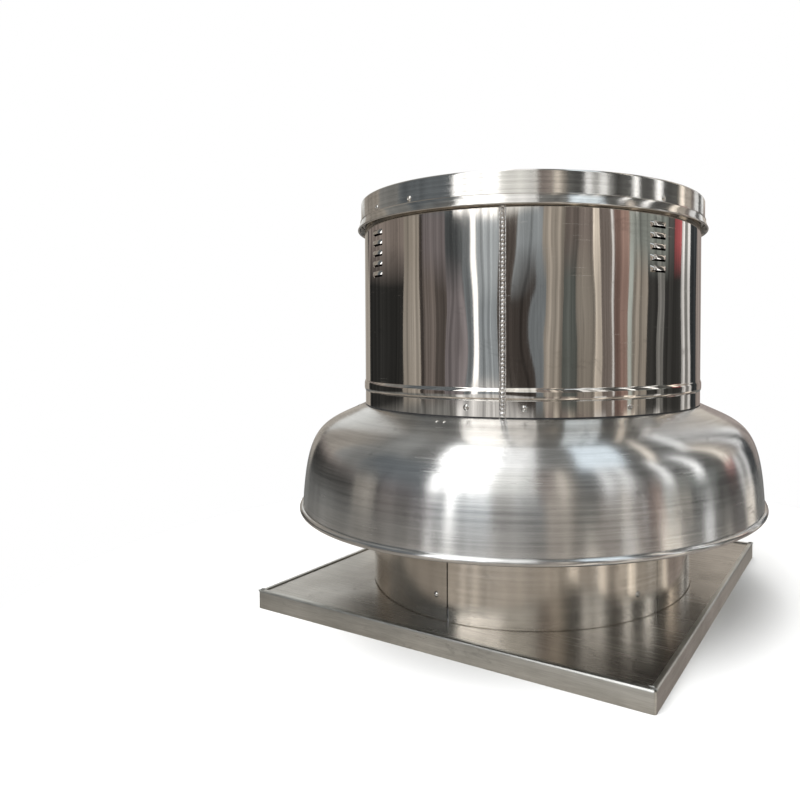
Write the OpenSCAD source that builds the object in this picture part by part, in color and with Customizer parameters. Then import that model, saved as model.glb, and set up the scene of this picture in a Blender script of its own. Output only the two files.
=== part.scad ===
// Downblast roof exhaust fan: a square curb base, a round skirt, a spun hood and a
// tall motor compartment with a screwed cap. A backward curved impeller hangs under
// the compartment floor and turns with the shaft of the finned motor above it.
// The origin is the bottom centre of the base, +Z is up and -Y is the front edge.

/* [Base] */
// Side of the square base
base_side = 740; // [690:5:800]
// Height of the folded edge of the base
base_h = 32; // [26:1:45]
// Width of the frame lip seen round the base plate
base_lip_w = 9; // [6:1:14]
// Outer radius of the folded vertical corners
base_corner_r = 4; // [2:0.5:8]
// Width of the base plate left showing inside the foot ring
plate_step = 6.3; // [3:0.1:12]

/* [Skirt] */
// Outer radius of the skirt
skirt_r = 313; // [306:1:320]
// Height of the top edge of the skirt
skirt_top_z = 230; // [215:1:240]
// Angle of the open butt joint at the left end of the front panel
panel_start_a = -88.9; // [-90:0.1:-86]
// Angle of the closed butt joint at the right end of the front panel
panel_end_a = -20.5; // [-24:0.5:-17]
// Width of the open butt joint
butt_gap_w = 3; // [1:0.5:5]
// Height of the lower row of skirt screws
skirt_screw_z = 70; // [60:1:90]

/* [Hood] */
// Outer radius of the hood at its rolled lip
hood_r = 450; // [440:1:470]
// Height of the underside of the rolled lip
hood_lip_z = 175; // [160:1:190]
// Radius of the rolled lip
lip_bead_r = 5.5; // [4:0.5:7]
// Slope of the hood top below the neck
hood_top_a = 26; // [20:1:32]
// Radius of the rounded shoulder
shoulder_r = 37; // [30:1:50]
// Lean of the wall from the vertical where the shoulder ends
bulge_a = 23; // [16:1:30]
// Radius of the bulged wall
bulge_r = 290; // [200:5:320]
// Lean of the wall from the vertical just above the lip
hood_wall_a = 2.6; // [1:0.2:5]

/* [Motor compartment] */
// How far the compartment stands outside the skirt
shell_over = 15; // [9:0.5:19]
// Height of the space for the wheel, from the top of the skirt to the compartment
wheel_space = 138; // [130:1:145]
// Top edge of the cap band
cap_z = 748; // [720:2:780]
// Height of the cap band with its drip lip
cap_band_h = 54; // [40:1:60]
// How far the cap band stands outside the compartment
cap_over = 6.5; // [5:0.5:10]
// Rise of the cap to its middle
cap_rise = 8; // [4:1:16]
// Middle height of the swaged bead above the shell's lower edge
swage_up = 35; // [28:1:45]

/* [Louvres] */
// Angles of the louvre columns
louvre_angles = [-118, -24, 62, 156];
// Louvres in a column
louvre_count = 5; // [3:1:6]
// Spacing of the louvres
louvre_pitch = 18; // [16:1:22]
// Width of a louvre along the shell
louvre_w = 34; // [24:1:40]
// Height of a louvre
louvre_h = 8; // [6:0.5:10]
// Distance from the drip lip of the cap down to the top louvre
louvre_gap = 16; // [10:1:60]

/* [Impeller] */
// Outer radius of the impeller
impeller_r = 250; // [230:1:255]
// Radius of the impeller eye
eye_r = 168; // [160:1:172]
// Number of blades
blade_count = 9; // [7:1:11]
// Angle a blade sweeps back round the axis
blade_sweep = 46; // [35:1:55]
// How far the inner ends of the blades reach inside the eye
blade_reach = 18; // [8:1:23]

/* [Motor] */
// Outer radius over the cooling fins
motor_r = 92; // [88:1:96]
// Number of cooling fins
fin_count = 32; // [24:4:40]
// Height of the finned housing
housing_h = 150; // [130:5:170]
// Radius of the shaft
shaft_r = 19; // [17:0.5:20]
// Clearance of the shaft in its bearings
bearing_clear = 0.03; // [0.02:0.01:0.06]

/* [Hidden] */
$fn = 72;

// Sheet thicknesses and the small gap left between neighbouring sheets
sheet_t = 2;
thin_t = 1.5;
fit_gap = 0.2;
small_fn = 20;

// Fasteners and their clearance holes
bolt_r = 4;
bolt_hole_r = bolt_r + 0.2;
bolt_head_w = 13;
bolt_head_h = 5.3;
screw_r = 2.5;
screw_hole_r = screw_r + 0.1;
screw_head_r = 5;
screw_head_h = 2.4;
small_screw_r = 2;
small_hole_r = small_screw_r + 0.1;

// Base
plate_side = base_side - 2 * (sheet_t + fit_gap);
plate_top = base_h - sheet_t;
frame_corner_in = base_corner_r - sheet_t;

// Skirt
skirt_in = skirt_r - thin_t;
foot_leg = 20;
foot_r = skirt_in - fit_gap;
foot_rivet_r = foot_r - 12;
foot_rivet_count = 12;
throat_r = foot_r - foot_leg - plate_step;
gap_half_a = butt_gap_w / 2 / skirt_r * 180 / PI;
seam_half_a = 0.1;
strap_half_a = 1.1;
strap_t = 1.2;
strut_angles = [-93, -29, 29, 87, 151, 209];
strut_w = 30;
strut_t = 3;
strut_face_r = skirt_in - 0.5;
strut_z = foot_leg + plate_top + 6;
upper_screw_z = 190;
deck_notch = 8;
deck_rim_h = 14;
deck_r = skirt_in - fit_gap;

// Inlet cone
cone_r = eye_r - 8;
cone_arc_r = 46;
cone_lip_h = 6;
cone_arc_c = cone_r + cone_arc_r;
cone_top_z = skirt_top_z + cone_arc_r;
cone_flange_r = cone_arc_c + 30;
cone_screw_r = cone_flange_r - 12;
cone_screw_count = 8;
cone_screw_hole_r = 3.2;
deck_hole_r = cone_arc_c;

// Hood and the stack it is clamped in
gasket_t = 2;
shell_r = skirt_r + shell_over;
shell_z = skirt_top_z + wheel_space;
hood_top_z = shell_z - gasket_t;
hood_bottom_z = hood_top_z - sheet_t;
foot_bolt_r = strut_face_r - 17;
strut_foot_l = 34;
hood_hole_r = foot_bolt_r - 10;
neck_r = shell_r + 1;
lip_c = [hood_r - lip_bead_r, hood_lip_z + lip_bead_r];
wall_foot_r = lip_c[0] - 0.5;
bracket_a = 5.2;
bracket_w = 24;
bracket_t = 2;
rivet_pair_r = neck_r + 14;
rivet_spread_a = 1.15;
rivet_hole_r = 2.1;

// Directions from an arc's centre, each as an angle up from the radial line
top_dir = 90 - hood_top_a;
shoulder_dir = bulge_a;
wall_dir = hood_wall_a;
top_drop = tan(hood_top_a);
shoulder_steps = 7;
bulge_steps = 6;
lip_steps = 20;
function turned(r, dir) = [r * cos(dir), r * sin(dir)];
// Way from the end of the sloped top, over the shoulder and down the bulge
arcs_way = turned(shoulder_r, shoulder_dir) - turned(shoulder_r, top_dir)
  + turned(bulge_r, wall_dir) - turned(bulge_r, shoulder_dir);
// Length of the sloped top that brings the foot of the wall onto the lip
neck_point = [neck_r, hood_top_z];
left_over = [wall_foot_r, lip_c[1]] - neck_point - arcs_way;
slope_l = (left_over[0] * cos(hood_wall_a) + left_over[1] * sin(hood_wall_a))
  / cos(hood_top_a + hood_wall_a);
slope_end = neck_point + slope_l * [cos(hood_top_a), -sin(hood_top_a)];
shoulder_c = slope_end - turned(shoulder_r, top_dir);
bulge_c = shoulder_c - turned(bulge_r - shoulder_r, shoulder_dir);

// Compartment
floor_z = shell_z;
floor_top = floor_z + sheet_t;
conduit_r = 9;
conduit_nut_r = 13;
conduit_nut_h = 5;
conduit_at = (cone_flange_r + deck_r - deck_notch) / 2;
conduit_in = 7.5;
conduit_z = skirt_top_z - 20;
conduit_top = floor_top + 12;
shell_in = shell_r - thin_t;
floor_r = shell_in - fit_gap;
floor_rim_h = 24;
floor_hole_r = shaft_r + 11;
shell_top_z = cap_z - 20;
swage_z = shell_z + swage_up;
swage_r = 26;
swage_out = 2;
weld_a = -70.9;
weld_h = 1.2;
weld_half_a = 0.35;
shell_screw_angles = [-81.3, -65, -34.5, 98.7, 115, 145.5];
shell_screw_z = shell_z + 14;
cap_r = shell_r + cap_over;
cap_in = cap_r - thin_t;
cap_lip_out = 6.5;
cap_lip_h = 13;
cap_step = 1.3;
cap_ring_h = 18;
cap_ring_z = shell_top_z - cap_ring_h - 2;
cap_screw_z = cap_z - 31;
cap_screw_angles = [-116.2, -99.6, -23.3, 63.8, 80.4, 156.7];
louvre_out = 5;
louvre_wall = 1;
louvre_z = cap_z - cap_band_h - louvre_gap - louvre_h - (louvre_count - 1) * louvre_pitch;
louvre_arc = louvre_w / shell_r * 180 / PI;
louvre_wall_a = louvre_wall / shell_r * 180 / PI;

// Motor stack, from the floor up
isolator_r = 16;
isolator_h = 16;
isolator_at = 105;
plate_z = floor_top + isolator_h;
motor_plate_t = 6;
motor_plate_side = 260;
motor_z = plate_z + motor_plate_t;
flange_t = 10;
flange_r = motor_r + 8;
flange_bolt_r = motor_r - 10;
flange_bolt_count = 4;
drive_h = 22;
housing_z = motor_z + drive_h;
housing_top = housing_z + housing_h;
body_r = motor_r - 14;
bore_r = body_r - 6;
rear_h = 18;
rear_top = housing_top + rear_h;
cowl_h = 72;
cowl_z = housing_top - 12;
cowl_r = motor_r + fit_gap + thin_t;
fin_t = 3;
bearing_w = 15;
bearing_out_r = shaft_r + 21;
lower_bearing_z = motor_z + 5;
upper_bearing_z = housing_top + 1;
bearing_in_r = shaft_r + bearing_clear;
stack_h = 90;
stack_z = housing_z + (housing_h - stack_h) / 2;
stator_in_r = bore_r - 24;
air_gap = 0.6;
box_angle = -20;
box_w = 84;
box_h = 90;
box_d = 38;
box_z = housing_z + 30;
box_x = motor_r - 8;
lid_t = 4;

// Rotor, hanging below the floor
washer_t = 4;
shaft_top = rear_top + 32;
fan_r = motor_r - 22;
fan_h = 24;
fan_hub_r = shaft_r + 7;
fan_disc_t = 3;
collar_r = shaft_r + 4;
back_z = floor_z - 20;
back_t = 3;
hub_bottom = back_z - 30;
shaft_bottom = hub_bottom + 1;
hub_r = shaft_r + 15;
hub_flange_r = hub_r + 28;
hub_flange_t = 6;
hub_rivet_r = hub_r + 16;
hub_rivet_hole_r = 3;
hub_rivet_count = 6;
shroud_arc_r = 24;
shroud_lip_z = cone_top_z - 8;
shroud_arc_z = shroud_lip_z + 6;
shroud_in_z = shroud_arc_z + shroud_arc_r;
shroud_out_z = shroud_in_z + 8;
shroud_t = 1.5;
shroud_steps = 10;
blade_t = 2.5;
blade_in_r = eye_r - blade_reach;
blade_bend = 1.15;
key_w = 10;
key_h = 8;
key_l = 26;

// A flat ring
module ring(r_out, r_in, h) {
  difference() {
    cylinder(r = r_out, h = h);
    translate([0, 0, -1]) cylinder(r = r_in, h = h + 2);
  }
}

// A band of a cylinder wall between two angles
module band(r_out, r_in, h, from_a, to_a) {
  rotate([0, 0, from_a])
    rotate_extrude(angle = to_a - from_a)
      translate([r_in, 0]) square([r_out - r_in, h]);
}

// Copies of the children round the axis
module around(count, first_a = 0) {
  for (i = [0:count - 1])
    rotate([0, 0, first_a + i * 360 / count]) children();
}

// A domed screw head with its shank, along +X from the face it sits on
module dome_screw(head_r, head_h, shank_r, shank_l) {
  rotate([0, 90, 0]) {
    rotate_extrude($fn = small_fn)
      intersection() {
        translate([0, head_h - head_r * 1.25]) circle(r = head_r * 1.25);
        square([head_r, head_h]);
      }
    translate([0, 0, -shank_l]) cylinder(r = shank_r, h = shank_l + 0.2, $fn = small_fn);
  }
}

// A hexagon head with its shank, the head above z = 0
module hex_bolt(across, head_h, shank_r, shank_l) {
  cylinder(r = across / 2 / cos(30), h = head_h, $fn = 6);
  translate([0, 0, -shank_l]) cylinder(r = shank_r, h = shank_l + 0.2, $fn = small_fn);
}

// A rounded square in plan
module round_square(side, r) {
  half = side / 2 - r;
  square([side - 2 * r, side], center = true);
  square([side, side - 2 * r], center = true);
  for (x = [-half, half], y = [-half, half])
    translate([x, y]) circle(r = r, $fn = 24);
}

// Folded frame round the base: four walls, welded corners and a narrow top lip
module base_frame() {
  color("darkgray")
    difference() {
      linear_extrude(base_h) round_square(base_side, base_corner_r);
      translate([0, 0, -1])
        linear_extrude(plate_top + 1)
          round_square(base_side - 2 * sheet_t, frame_corner_in);
      translate([0, 0, plate_top - 1])
        linear_extrude(sheet_t + 2) square(base_side - 2 * base_lip_w, center = true);
    }
}

// Plate welded under the frame lip, with the round air opening
module base_plate() {
  color("silver")
    translate([0, 0, plate_top - sheet_t])
      difference() {
        linear_extrude(sheet_t) round_square(plate_side, frame_corner_in);
        translate([0, 0, -1]) cylinder(r = throat_r, h = sheet_t + 2);
        around(foot_rivet_count)
          translate([foot_rivet_r, 0, -1]) cylinder(r = screw_hole_r, h = sheet_t + 2, $fn = small_fn);
      }
}

// Angle ring that holds the skirt down on the plate
module foot_ring() {
  color("gray")
    translate([0, 0, plate_top])
      difference() {
        cylinder(r = foot_r, h = foot_leg);
        translate([0, 0, sheet_t]) cylinder(r = foot_r - sheet_t, h = foot_leg);
        translate([0, 0, -1]) cylinder(r = foot_r - foot_leg, h = foot_leg);
        around(foot_rivet_count)
          translate([foot_rivet_r, 0, -1]) cylinder(r = screw_hole_r, h = sheet_t + 2, $fn = small_fn);
      }
}

// Rivets through the angle ring, closed under the leg
module foot_rivets() {
  color("lightgray")
    around(foot_rivet_count)
      translate([foot_rivet_r, 0, plate_top + sheet_t])
        rotate([0, -90, 0]) dome_screw(4.5, 2, screw_r, 2 * sheet_t);
}

// Three quarters of the skirt, from the closed joint round to the open joint
module skirt_shell() {
  color("silver")
    difference() {
      translate([0, 0, plate_top])
        band(skirt_r, skirt_in, skirt_top_z - plate_top,
             panel_end_a + seam_half_a, panel_start_a + 360 - gap_half_a);
      skirt_screw_holes();
    }
}

// Front panel of the skirt between the two butt joints
module skirt_panel() {
  color("silver")
    difference() {
      translate([0, 0, plate_top])
        band(skirt_r, skirt_in, skirt_top_z - plate_top,
             panel_start_a + gap_half_a, panel_end_a - seam_half_a);
      skirt_screw_holes();
    }
}

module skirt_screw_holes() {
  for (a = strut_angles, z = [skirt_screw_z, upper_screw_z])
    rotate([0, 0, a])
      translate([skirt_r - 10, 0, z])
        rotate([0, 90, 0]) cylinder(r = screw_hole_r, h = 20, $fn = small_fn);
}

// Narrow straps behind the two butt joints
module seam_straps() {
  color("dimgray")
    for (a = [panel_start_a, panel_end_a])
      translate([0, 0, plate_top + foot_leg + 2])
        band(skirt_in - fit_gap, skirt_in - fit_gap - strap_t,
             skirt_top_z - plate_top - foot_leg - deck_rim_h - 8,
             a - strap_half_a, a + strap_half_a);
}

// Two screws through the skirt into each strut
module skirt_screws() {
  color("lightgray")
    for (a = strut_angles, z = [skirt_screw_z, upper_screw_z])
      rotate([0, 0, a])
        translate([skirt_r, 0, z]) dome_screw(screw_head_r, screw_head_h, screw_r, 8);
}

// Deck that closes the top of the skirt round the inlet cone
module skirt_deck() {
  color("darkgray")
    difference() {
      translate([0, 0, skirt_top_z - deck_rim_h]) cylinder(r = deck_r, h = deck_rim_h);
      translate([0, 0, skirt_top_z - deck_rim_h - sheet_t])
        cylinder(r = deck_r - sheet_t, h = deck_rim_h);
      cylinder(r = deck_hole_r, h = skirt_top_z + 1);
      for (a = strut_angles)
        rotate([0, 0, a])
          translate([deck_r - deck_notch, -strut_w / 2 - 1, 0])
            cube([deck_notch + 10, strut_w + 2, skirt_top_z + 1]);
      around(cone_screw_count, 22.5)
        translate([cone_screw_r, 0, 0])
          cylinder(r = cone_screw_hole_r, h = skirt_top_z + 1, $fn = small_fn);
      translate([conduit_at, 0, 0])
        cylinder(r = conduit_r + fit_gap, h = skirt_top_z + 1, $fn = 32);
    }
}

// Spun bell mouth that leads the air up into the impeller eye
module inlet_cone() {
  color("lightgray")
    difference() {
      rotate_extrude() {
        intersection() {
          translate([cone_arc_c, cone_top_z])
            difference() {
              circle(r = cone_arc_r);
              circle(r = cone_arc_r - thin_t);
            }
          translate([cone_r - 1, skirt_top_z - 1]) square([cone_arc_r + 1, cone_arc_r + 1]);
        }
        translate([cone_arc_c - 0.1, skirt_top_z]) square([cone_flange_r - cone_arc_c, thin_t]);
        translate([cone_r, cone_top_z - 0.1]) square([thin_t, cone_lip_h]);
      }
      around(cone_screw_count, 22.5)
        translate([cone_screw_r, 0, skirt_top_z - 1])
          cylinder(r = cone_screw_hole_r, h = 5, $fn = small_fn);
    }
}

// Screws of the inlet cone flange
module inlet_cone_screws() {
  color("gray")
    around(cone_screw_count, 22.5)
      translate([cone_screw_r, 0, skirt_top_z + thin_t]) hex_bolt(10, 4, 3, 12);
}

// One bent flat bar from the skirt up to the underside of the hood flange
module strut(a) {
  color("slategray")
    rotate([0, 0, a])
      difference() {
        union() {
          translate([strut_face_r - strut_t, -strut_w / 2, strut_z])
            cube([strut_t, strut_w, hood_bottom_z - strut_z]);
          translate([strut_face_r - strut_foot_l, -strut_w / 2, hood_bottom_z - strut_t])
            cube([strut_foot_l, strut_w, strut_t]);
        }
        for (z = [skirt_screw_z, upper_screw_z])
          translate([strut_face_r - 10, 0, z])
            rotate([0, 90, 0]) cylinder(r = screw_r, h = 20, $fn = small_fn);
        foot_bolt_hole(hood_bottom_z - 10, 20);
      }
}

module strut_1() { strut(strut_angles[0]); }
module strut_2() { strut(strut_angles[1]); }
module strut_3() { strut(strut_angles[2]); }
module strut_4() { strut(strut_angles[3]); }
module strut_5() { strut(strut_angles[4]); }
module strut_6() { strut(strut_angles[5]); }

// Points of an arc between two directions from its centre, without its first point
function arc_points(centre, r, from_dir, to_dir, steps) =
  [for (i = [1:steps]) centre + turned(r, from_dir + (to_dir - from_dir) * i / steps)];

// Upper line of the hood section from its hole to the lip, drawn inside by the distance in
function hood_line(in) = concat(
  [[hood_hole_r, hood_top_z - in], neck_point - [in * tan(hood_top_a / 2), in]],
  [shoulder_c + turned(shoulder_r - in, top_dir)],
  arc_points(shoulder_c, shoulder_r - in, top_dir, shoulder_dir, shoulder_steps),
  arc_points(bulge_c, bulge_r - in, shoulder_dir, wall_dir, bulge_steps),
  [lip_c + turned(lip_bead_r, lip_dir(in))]
);

// Direction from the middle of the lip to where a side of the sheet runs into it
function lip_dir(in) = acos((wall_foot_r - in - lip_c[0]) / lip_bead_r);

// A line of points from its last to its first
function turned_back(line) = [for (i = [1:len(line)]) line[len(line) - i]];

// Spun hood: flat flange, sloping top, rounded shoulder, bulged wall and rolled lip
module hood() {
  color("lightgray")
    difference() {
      rotate_extrude($fn = 96)
        polygon(concat(
          hood_line(0),
          arc_points(lip_c, lip_bead_r, lip_dir(0), lip_dir(sheet_t) - 360, lip_steps),
          turned_back(hood_line(sheet_t))
        ));
      foot_bolt_holes(hood_bottom_z - 2, 8);
      conduit_space(hood_bottom_z - 2, 8);
      bracket_rivet_places() rivet_hole();
    }
}

// Places of the rivet pairs on the hood top, +X pointing out of the sheet
module bracket_rivet_places() {
  for (a = strut_angles, side = [-1, 1])
    rotate([0, 0, a + bracket_a + side * rivet_spread_a])
      translate([rivet_pair_r, 0, hood_top_z - (rivet_pair_r - neck_r) * top_drop])
        rotate([0, hood_top_a - 90, 0]) children();
}

module rivet_hole() {
  rotate([0, 90, 0]) cylinder(r = rivet_hole_r, h = 30, center = true, $fn = small_fn);
}

// Bent straps under the hood top that stiffen the neck beside each strut
module hood_brackets() {
  inner_l = 16;
  outer_l = 22;
  drop = sheet_t / cos(hood_top_a) + 0.3;
  color("gray")
    difference() {
      for (a = strut_angles)
        rotate([0, 0, a + bracket_a])
          translate([neck_r, bracket_w / 2, hood_top_z - drop])
            rotate([90, 0, 0])
              linear_extrude(bracket_w)
                polygon([
                  [-inner_l, 0], [-1, 0], [outer_l, -outer_l * top_drop],
                  [outer_l - 1, -outer_l * top_drop - bracket_t - 0.3],
                  [-1, -bracket_t - 0.2], [-inner_l, -bracket_t]
                ]);
      bracket_rivet_places() rivet_hole();
    }
}

// Domed rivets in pairs on the hood top
module hood_rivets() {
  color("silver")
    bracket_rivet_places() dome_screw(4, 1.6, rivet_hole_r - 0.1, 6);
}

// Flat gasket between the hood flange and the compartment floor
module hood_gasket() {
  color("black")
    translate([0, 0, hood_top_z])
      difference() {
        ring(neck_r - 1, hood_hole_r, gasket_t);
        foot_bolt_holes(-1, 5);
        conduit_space(-1, 5);
      }
}

module foot_bolt_hole(z, h) {
  translate([foot_bolt_r, 0, z]) cylinder(r = bolt_hole_r, h = h, $fn = small_fn);
}

module foot_bolt_holes(z, h) {
  for (a = strut_angles)
    rotate([0, 0, a]) foot_bolt_hole(z, h);
}

// Room for the conduit and its lock nuts where the sheets would reach them
module conduit_space(z, h) {
  translate([conduit_at, 0, z]) cylinder(r = conduit_nut_r + fit_gap, h = h, $fn = 32);
}

// Pressed floor of the compartment with an upturned rim
module compartment_floor() {
  color("silver")
    translate([0, 0, floor_z])
      difference() {
        cylinder(r = floor_r, h = floor_rim_h);
        translate([0, 0, sheet_t]) cylinder(r = floor_r - thin_t, h = floor_rim_h);
        translate([0, 0, -1]) cylinder(r = floor_hole_r, h = 10);
        translate([conduit_at, 0, -1]) cylinder(r = conduit_r + fit_gap, h = 10, $fn = 32);
        foot_bolt_holes(-1, 10);
        isolator_places() translate([0, 0, -1]) cylinder(r = bolt_hole_r, h = 10, $fn = small_fn);
        for (a = shell_screw_angles)
          rotate([0, 0, a])
            translate([floor_r - 6, 0, shell_screw_z - floor_z])
              rotate([0, 90, 0]) cylinder(r = screw_hole_r, h = 10, $fn = small_fn);
      }
}

// Bolts up through strut, hood, gasket and floor
module floor_bolts() {
  color("gray")
    for (a = strut_angles)
      rotate([0, 0, a])
        translate([foot_bolt_r, 0, hood_bottom_z - strut_t])
          mirror([0, 0, 1]) hex_bolt(bolt_head_w, bolt_head_h, bolt_r, 18);
}

// Nuts of the floor bolts
module floor_nuts() {
  color("gray")
    for (a = strut_angles)
      rotate([0, 0, a])
        translate([foot_bolt_r, 0, floor_top])
          difference() {
            cylinder(r = bolt_head_w / 2 / cos(30), h = 6.5, $fn = 6);
            translate([0, 0, -1]) cylinder(r = bolt_r + 0.05, h = 9, $fn = small_fn);
          }
}

// Tube that leads the supply wires from the skirt into the compartment
module wiring_conduit() {
  color("gray")
    translate([conduit_at, 0, conduit_z])
      difference() {
        cylinder(r = conduit_r, h = conduit_top - conduit_z, $fn = 32);
        translate([0, 0, -1]) cylinder(r = conduit_in, h = conduit_top - conduit_z + 2, $fn = 32);
      }
}

// Lock nuts of the conduit, under the deck and over the floor
module conduit_nuts() {
  color("gray")
    for (z = [skirt_top_z - sheet_t - conduit_nut_h, skirt_top_z, floor_z - conduit_nut_h, floor_top])
      translate([conduit_at, 0, z])
        difference() {
          cylinder(r = conduit_nut_r, h = conduit_nut_h, $fn = 6);
          translate([0, 0, -1]) cylinder(r = conduit_r + 0.05, h = conduit_nut_h + 2, $fn = 32);
        }
}

// One louvre section swept along the shell, shortened at both ends by cut_a
module louvre_sweep(reach, height, cut_a) {
  rotate([0, 0, -louvre_arc / 2 + cut_a])
    rotate_extrude(angle = louvre_arc - 2 * cut_a, $fn = 180)
      polygon([
        [shell_r - thin_t - 1, 0], [shell_r + reach, 0], [shell_r + reach * 0.92, height * 0.42],
        [shell_r + reach * 0.6, height * 0.78], [shell_r - 0.2, height], [shell_r - thin_t - 1, height]
      ]);
}

module louvre_places() {
  for (a = louvre_angles, i = [0:louvre_count - 1])
    rotate([0, 0, a]) translate([0, 0, louvre_z + i * louvre_pitch]) children();
}

// Rolled shell of the motor compartment with pressed louvres and a swaged bead
module compartment_shell() {
  color("gainsboro")
    difference() {
      union() {
        rotate_extrude($fn = 96)
          difference() {
            union() {
              translate([shell_in, shell_z]) square([thin_t, shell_top_z - shell_z]);
              translate([shell_r - swage_r + swage_out, swage_z]) circle(r = swage_r, $fn = 64);
            }
            translate([shell_r - swage_r + swage_out, swage_z]) circle(r = swage_r - thin_t, $fn = 64);
            square([shell_in, shell_top_z]);
          }
        louvre_places() louvre_sweep(louvre_out, louvre_h, 0);
      }
      cylinder(r = shell_in - 0.01, h = cap_z, $fn = 96);
      louvre_places()
        translate([0, 0, -0.5])
          louvre_sweep(louvre_out - louvre_wall, louvre_h - louvre_wall, louvre_wall_a);
      wall_screw_holes(shell_screw_angles, shell_screw_z);
      wall_screw_holes(cap_screw_angles, cap_screw_z);
    }
}

// Screw holes straight through the shell, the cap ring and the cap at one height
module wall_screw_holes(angles, z) {
  for (a = angles)
    rotate([0, 0, a])
      translate([shell_r - 6, 0, z])
        rotate([0, 90, 0]) cylinder(r = screw_hole_r, h = 20, $fn = small_fn);
}

// Proud weld bead down the front joint of the shell, ending in a run of metal
module shell_weld() {
  above_z = swage_z + 12;
  below_z = shell_z + 6;
  color("silver") {
    translate([0, 0, above_z])
      band(shell_r + weld_h, shell_r, cap_z - cap_band_h - above_z - 1,
           weld_a - weld_half_a, weld_a + weld_half_a);
    translate([0, 0, below_z])
      band(shell_r + weld_h, shell_r, swage_up - 18, weld_a - weld_half_a, weld_a + weld_half_a);
  }
}

// Screws through the lower band of the shell into the floor rim
module shell_screws() {
  color("lightgray")
    for (a = shell_screw_angles)
      rotate([0, 0, a])
        translate([shell_r, 0, shell_screw_z]) dome_screw(screw_head_r, screw_head_h, screw_r, 9);
}

// Rolled ring that spaces the cap band off the shell and takes the cap screws
module cap_ring() {
  color("gray")
    difference() {
      translate([0, 0, cap_ring_z]) ring(cap_in - fit_gap, shell_r + fit_gap, cap_ring_h);
      wall_screw_holes(cap_screw_angles, cap_screw_z);
    }
}

// Cap with a plain band, a step above a flared drip lip and a very low conical top
module top_cap() {
  lip_z = cap_z - cap_band_h;
  lip_top_z = lip_z + cap_lip_h;
  color("silver")
    difference() {
      rotate_extrude($fn = 96)
        difference() {
          union() {
            polygon([
              [0, lip_z], [cap_r + cap_lip_out, lip_z], [cap_r + cap_lip_out, lip_z + 1.5],
              [cap_r + cap_step, lip_top_z - 1], [cap_r + cap_step, lip_top_z],
              [cap_r, lip_top_z + cap_step], [cap_r, cap_z - 3], [cap_r - 3, cap_z], [0, cap_z + cap_rise]
            ]);
            translate([cap_r - 3, cap_z - 3]) circle(r = 3, $fn = 24);
          }
          polygon([
            [0, lip_z - 1], [cap_r + cap_lip_out - 1.2, lip_z - 1], [cap_r + cap_lip_out - 1.2, lip_z + 0.8],
            [cap_in, lip_top_z - 0.8], [cap_in, cap_z - 3], [cap_in - 1.5, cap_z - thin_t],
            [0, cap_z + cap_rise - thin_t]
          ]);
        }
      wall_screw_holes(cap_screw_angles, cap_screw_z);
    }
}

// Screws through the cap band
module cap_screws() {
  color("lightgray")
    for (a = cap_screw_angles)
      rotate([0, 0, a])
        translate([cap_r, 0, cap_screw_z]) dome_screw(screw_head_r, screw_head_h, screw_r, 11);
}

module isolator_places() {
  for (x = [-isolator_at, isolator_at], y = [-isolator_at, isolator_at])
    translate([x, y, 0]) children();
}

// Four rubber isolators under the motor plate
module isolators() {
  isolator_in = bolt_r + 0.1;
  color("black")
    isolator_places()
      translate([0, 0, floor_top])
        rotate_extrude($fn = 32)
          difference() {
            translate([isolator_in, 0]) square([isolator_r - isolator_in, isolator_h]);
            translate([isolator_r + 3, isolator_h / 2]) circle(r = 5, $fn = 24);
          }
}

// Through bolts of the isolators
module isolator_bolts() {
  color("gray")
    isolator_places()
      translate([0, 0, motor_z])
        hex_bolt(bolt_head_w, bolt_head_h, bolt_r, motor_plate_t + isolator_h + sheet_t + 1);
}

// Square steel plate that carries the motor
module motor_plate() {
  color("dimgray")
    translate([0, 0, plate_z])
      difference() {
        linear_extrude(motor_plate_t) round_square(motor_plate_side, 12);
        translate([0, 0, -1]) cylinder(r = floor_hole_r + 2, h = motor_plate_t + 2);
        isolator_places()
          translate([0, 0, -1]) cylinder(r = bolt_hole_r, h = motor_plate_t + 2, $fn = small_fn);
        flange_bolt_holes(-1, motor_plate_t + 2);
      }
}

module flange_bolt_holes(z, h) {
  around(flange_bolt_count, 45)
    translate([flange_bolt_r, 0, z]) cylinder(r = bolt_hole_r, h = h, $fn = small_fn);
}

// Bolts of the motor flange
module flange_bolts() {
  color("gray")
    around(flange_bolt_count, 45)
      translate([flange_bolt_r, 0, motor_z + flange_t])
        hex_bolt(bolt_head_w, bolt_head_h, bolt_r, flange_t + motor_plate_t + 3);
}

// Flanged end shield at the drive end
module drive_shield() {
  color("slategray")
    difference() {
      union() {
        translate([0, 0, motor_z]) cylinder(r = flange_r, h = flange_t);
        translate([0, 0, motor_z]) cylinder(r = body_r - 8, h = drive_h);
        translate([0, 0, motor_z + drive_h - 6]) cylinder(r = body_r, h = 6);
      }
      translate([0, 0, motor_z - 1]) cylinder(r = shaft_r + 2, h = drive_h + 2);
      translate([0, 0, lower_bearing_z]) cylinder(r = bearing_out_r, h = drive_h);
      flange_bolt_holes(motor_z - 1, flange_t + 2);
    }
}

// Cast housing with straight cooling fins
module motor_housing() {
  color("slategray")
    translate([0, 0, housing_z])
      difference() {
        linear_extrude(housing_h)
          difference() {
            union() {
              circle(r = body_r);
              for (i = [0:fin_count - 1])
                rotate(i * 360 / fin_count)
                  translate([body_r - 4, -fin_t / 2]) square([motor_r - body_r + 4, fin_t]);
              rotate(box_angle) translate([0, -box_w / 2 + 8]) square([box_x, box_w - 16]);
            }
            circle(r = bore_r);
            rotate(box_angle) translate([box_x, -box_w / 2]) square([box_d, box_w]);
          }
      }
}

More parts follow.
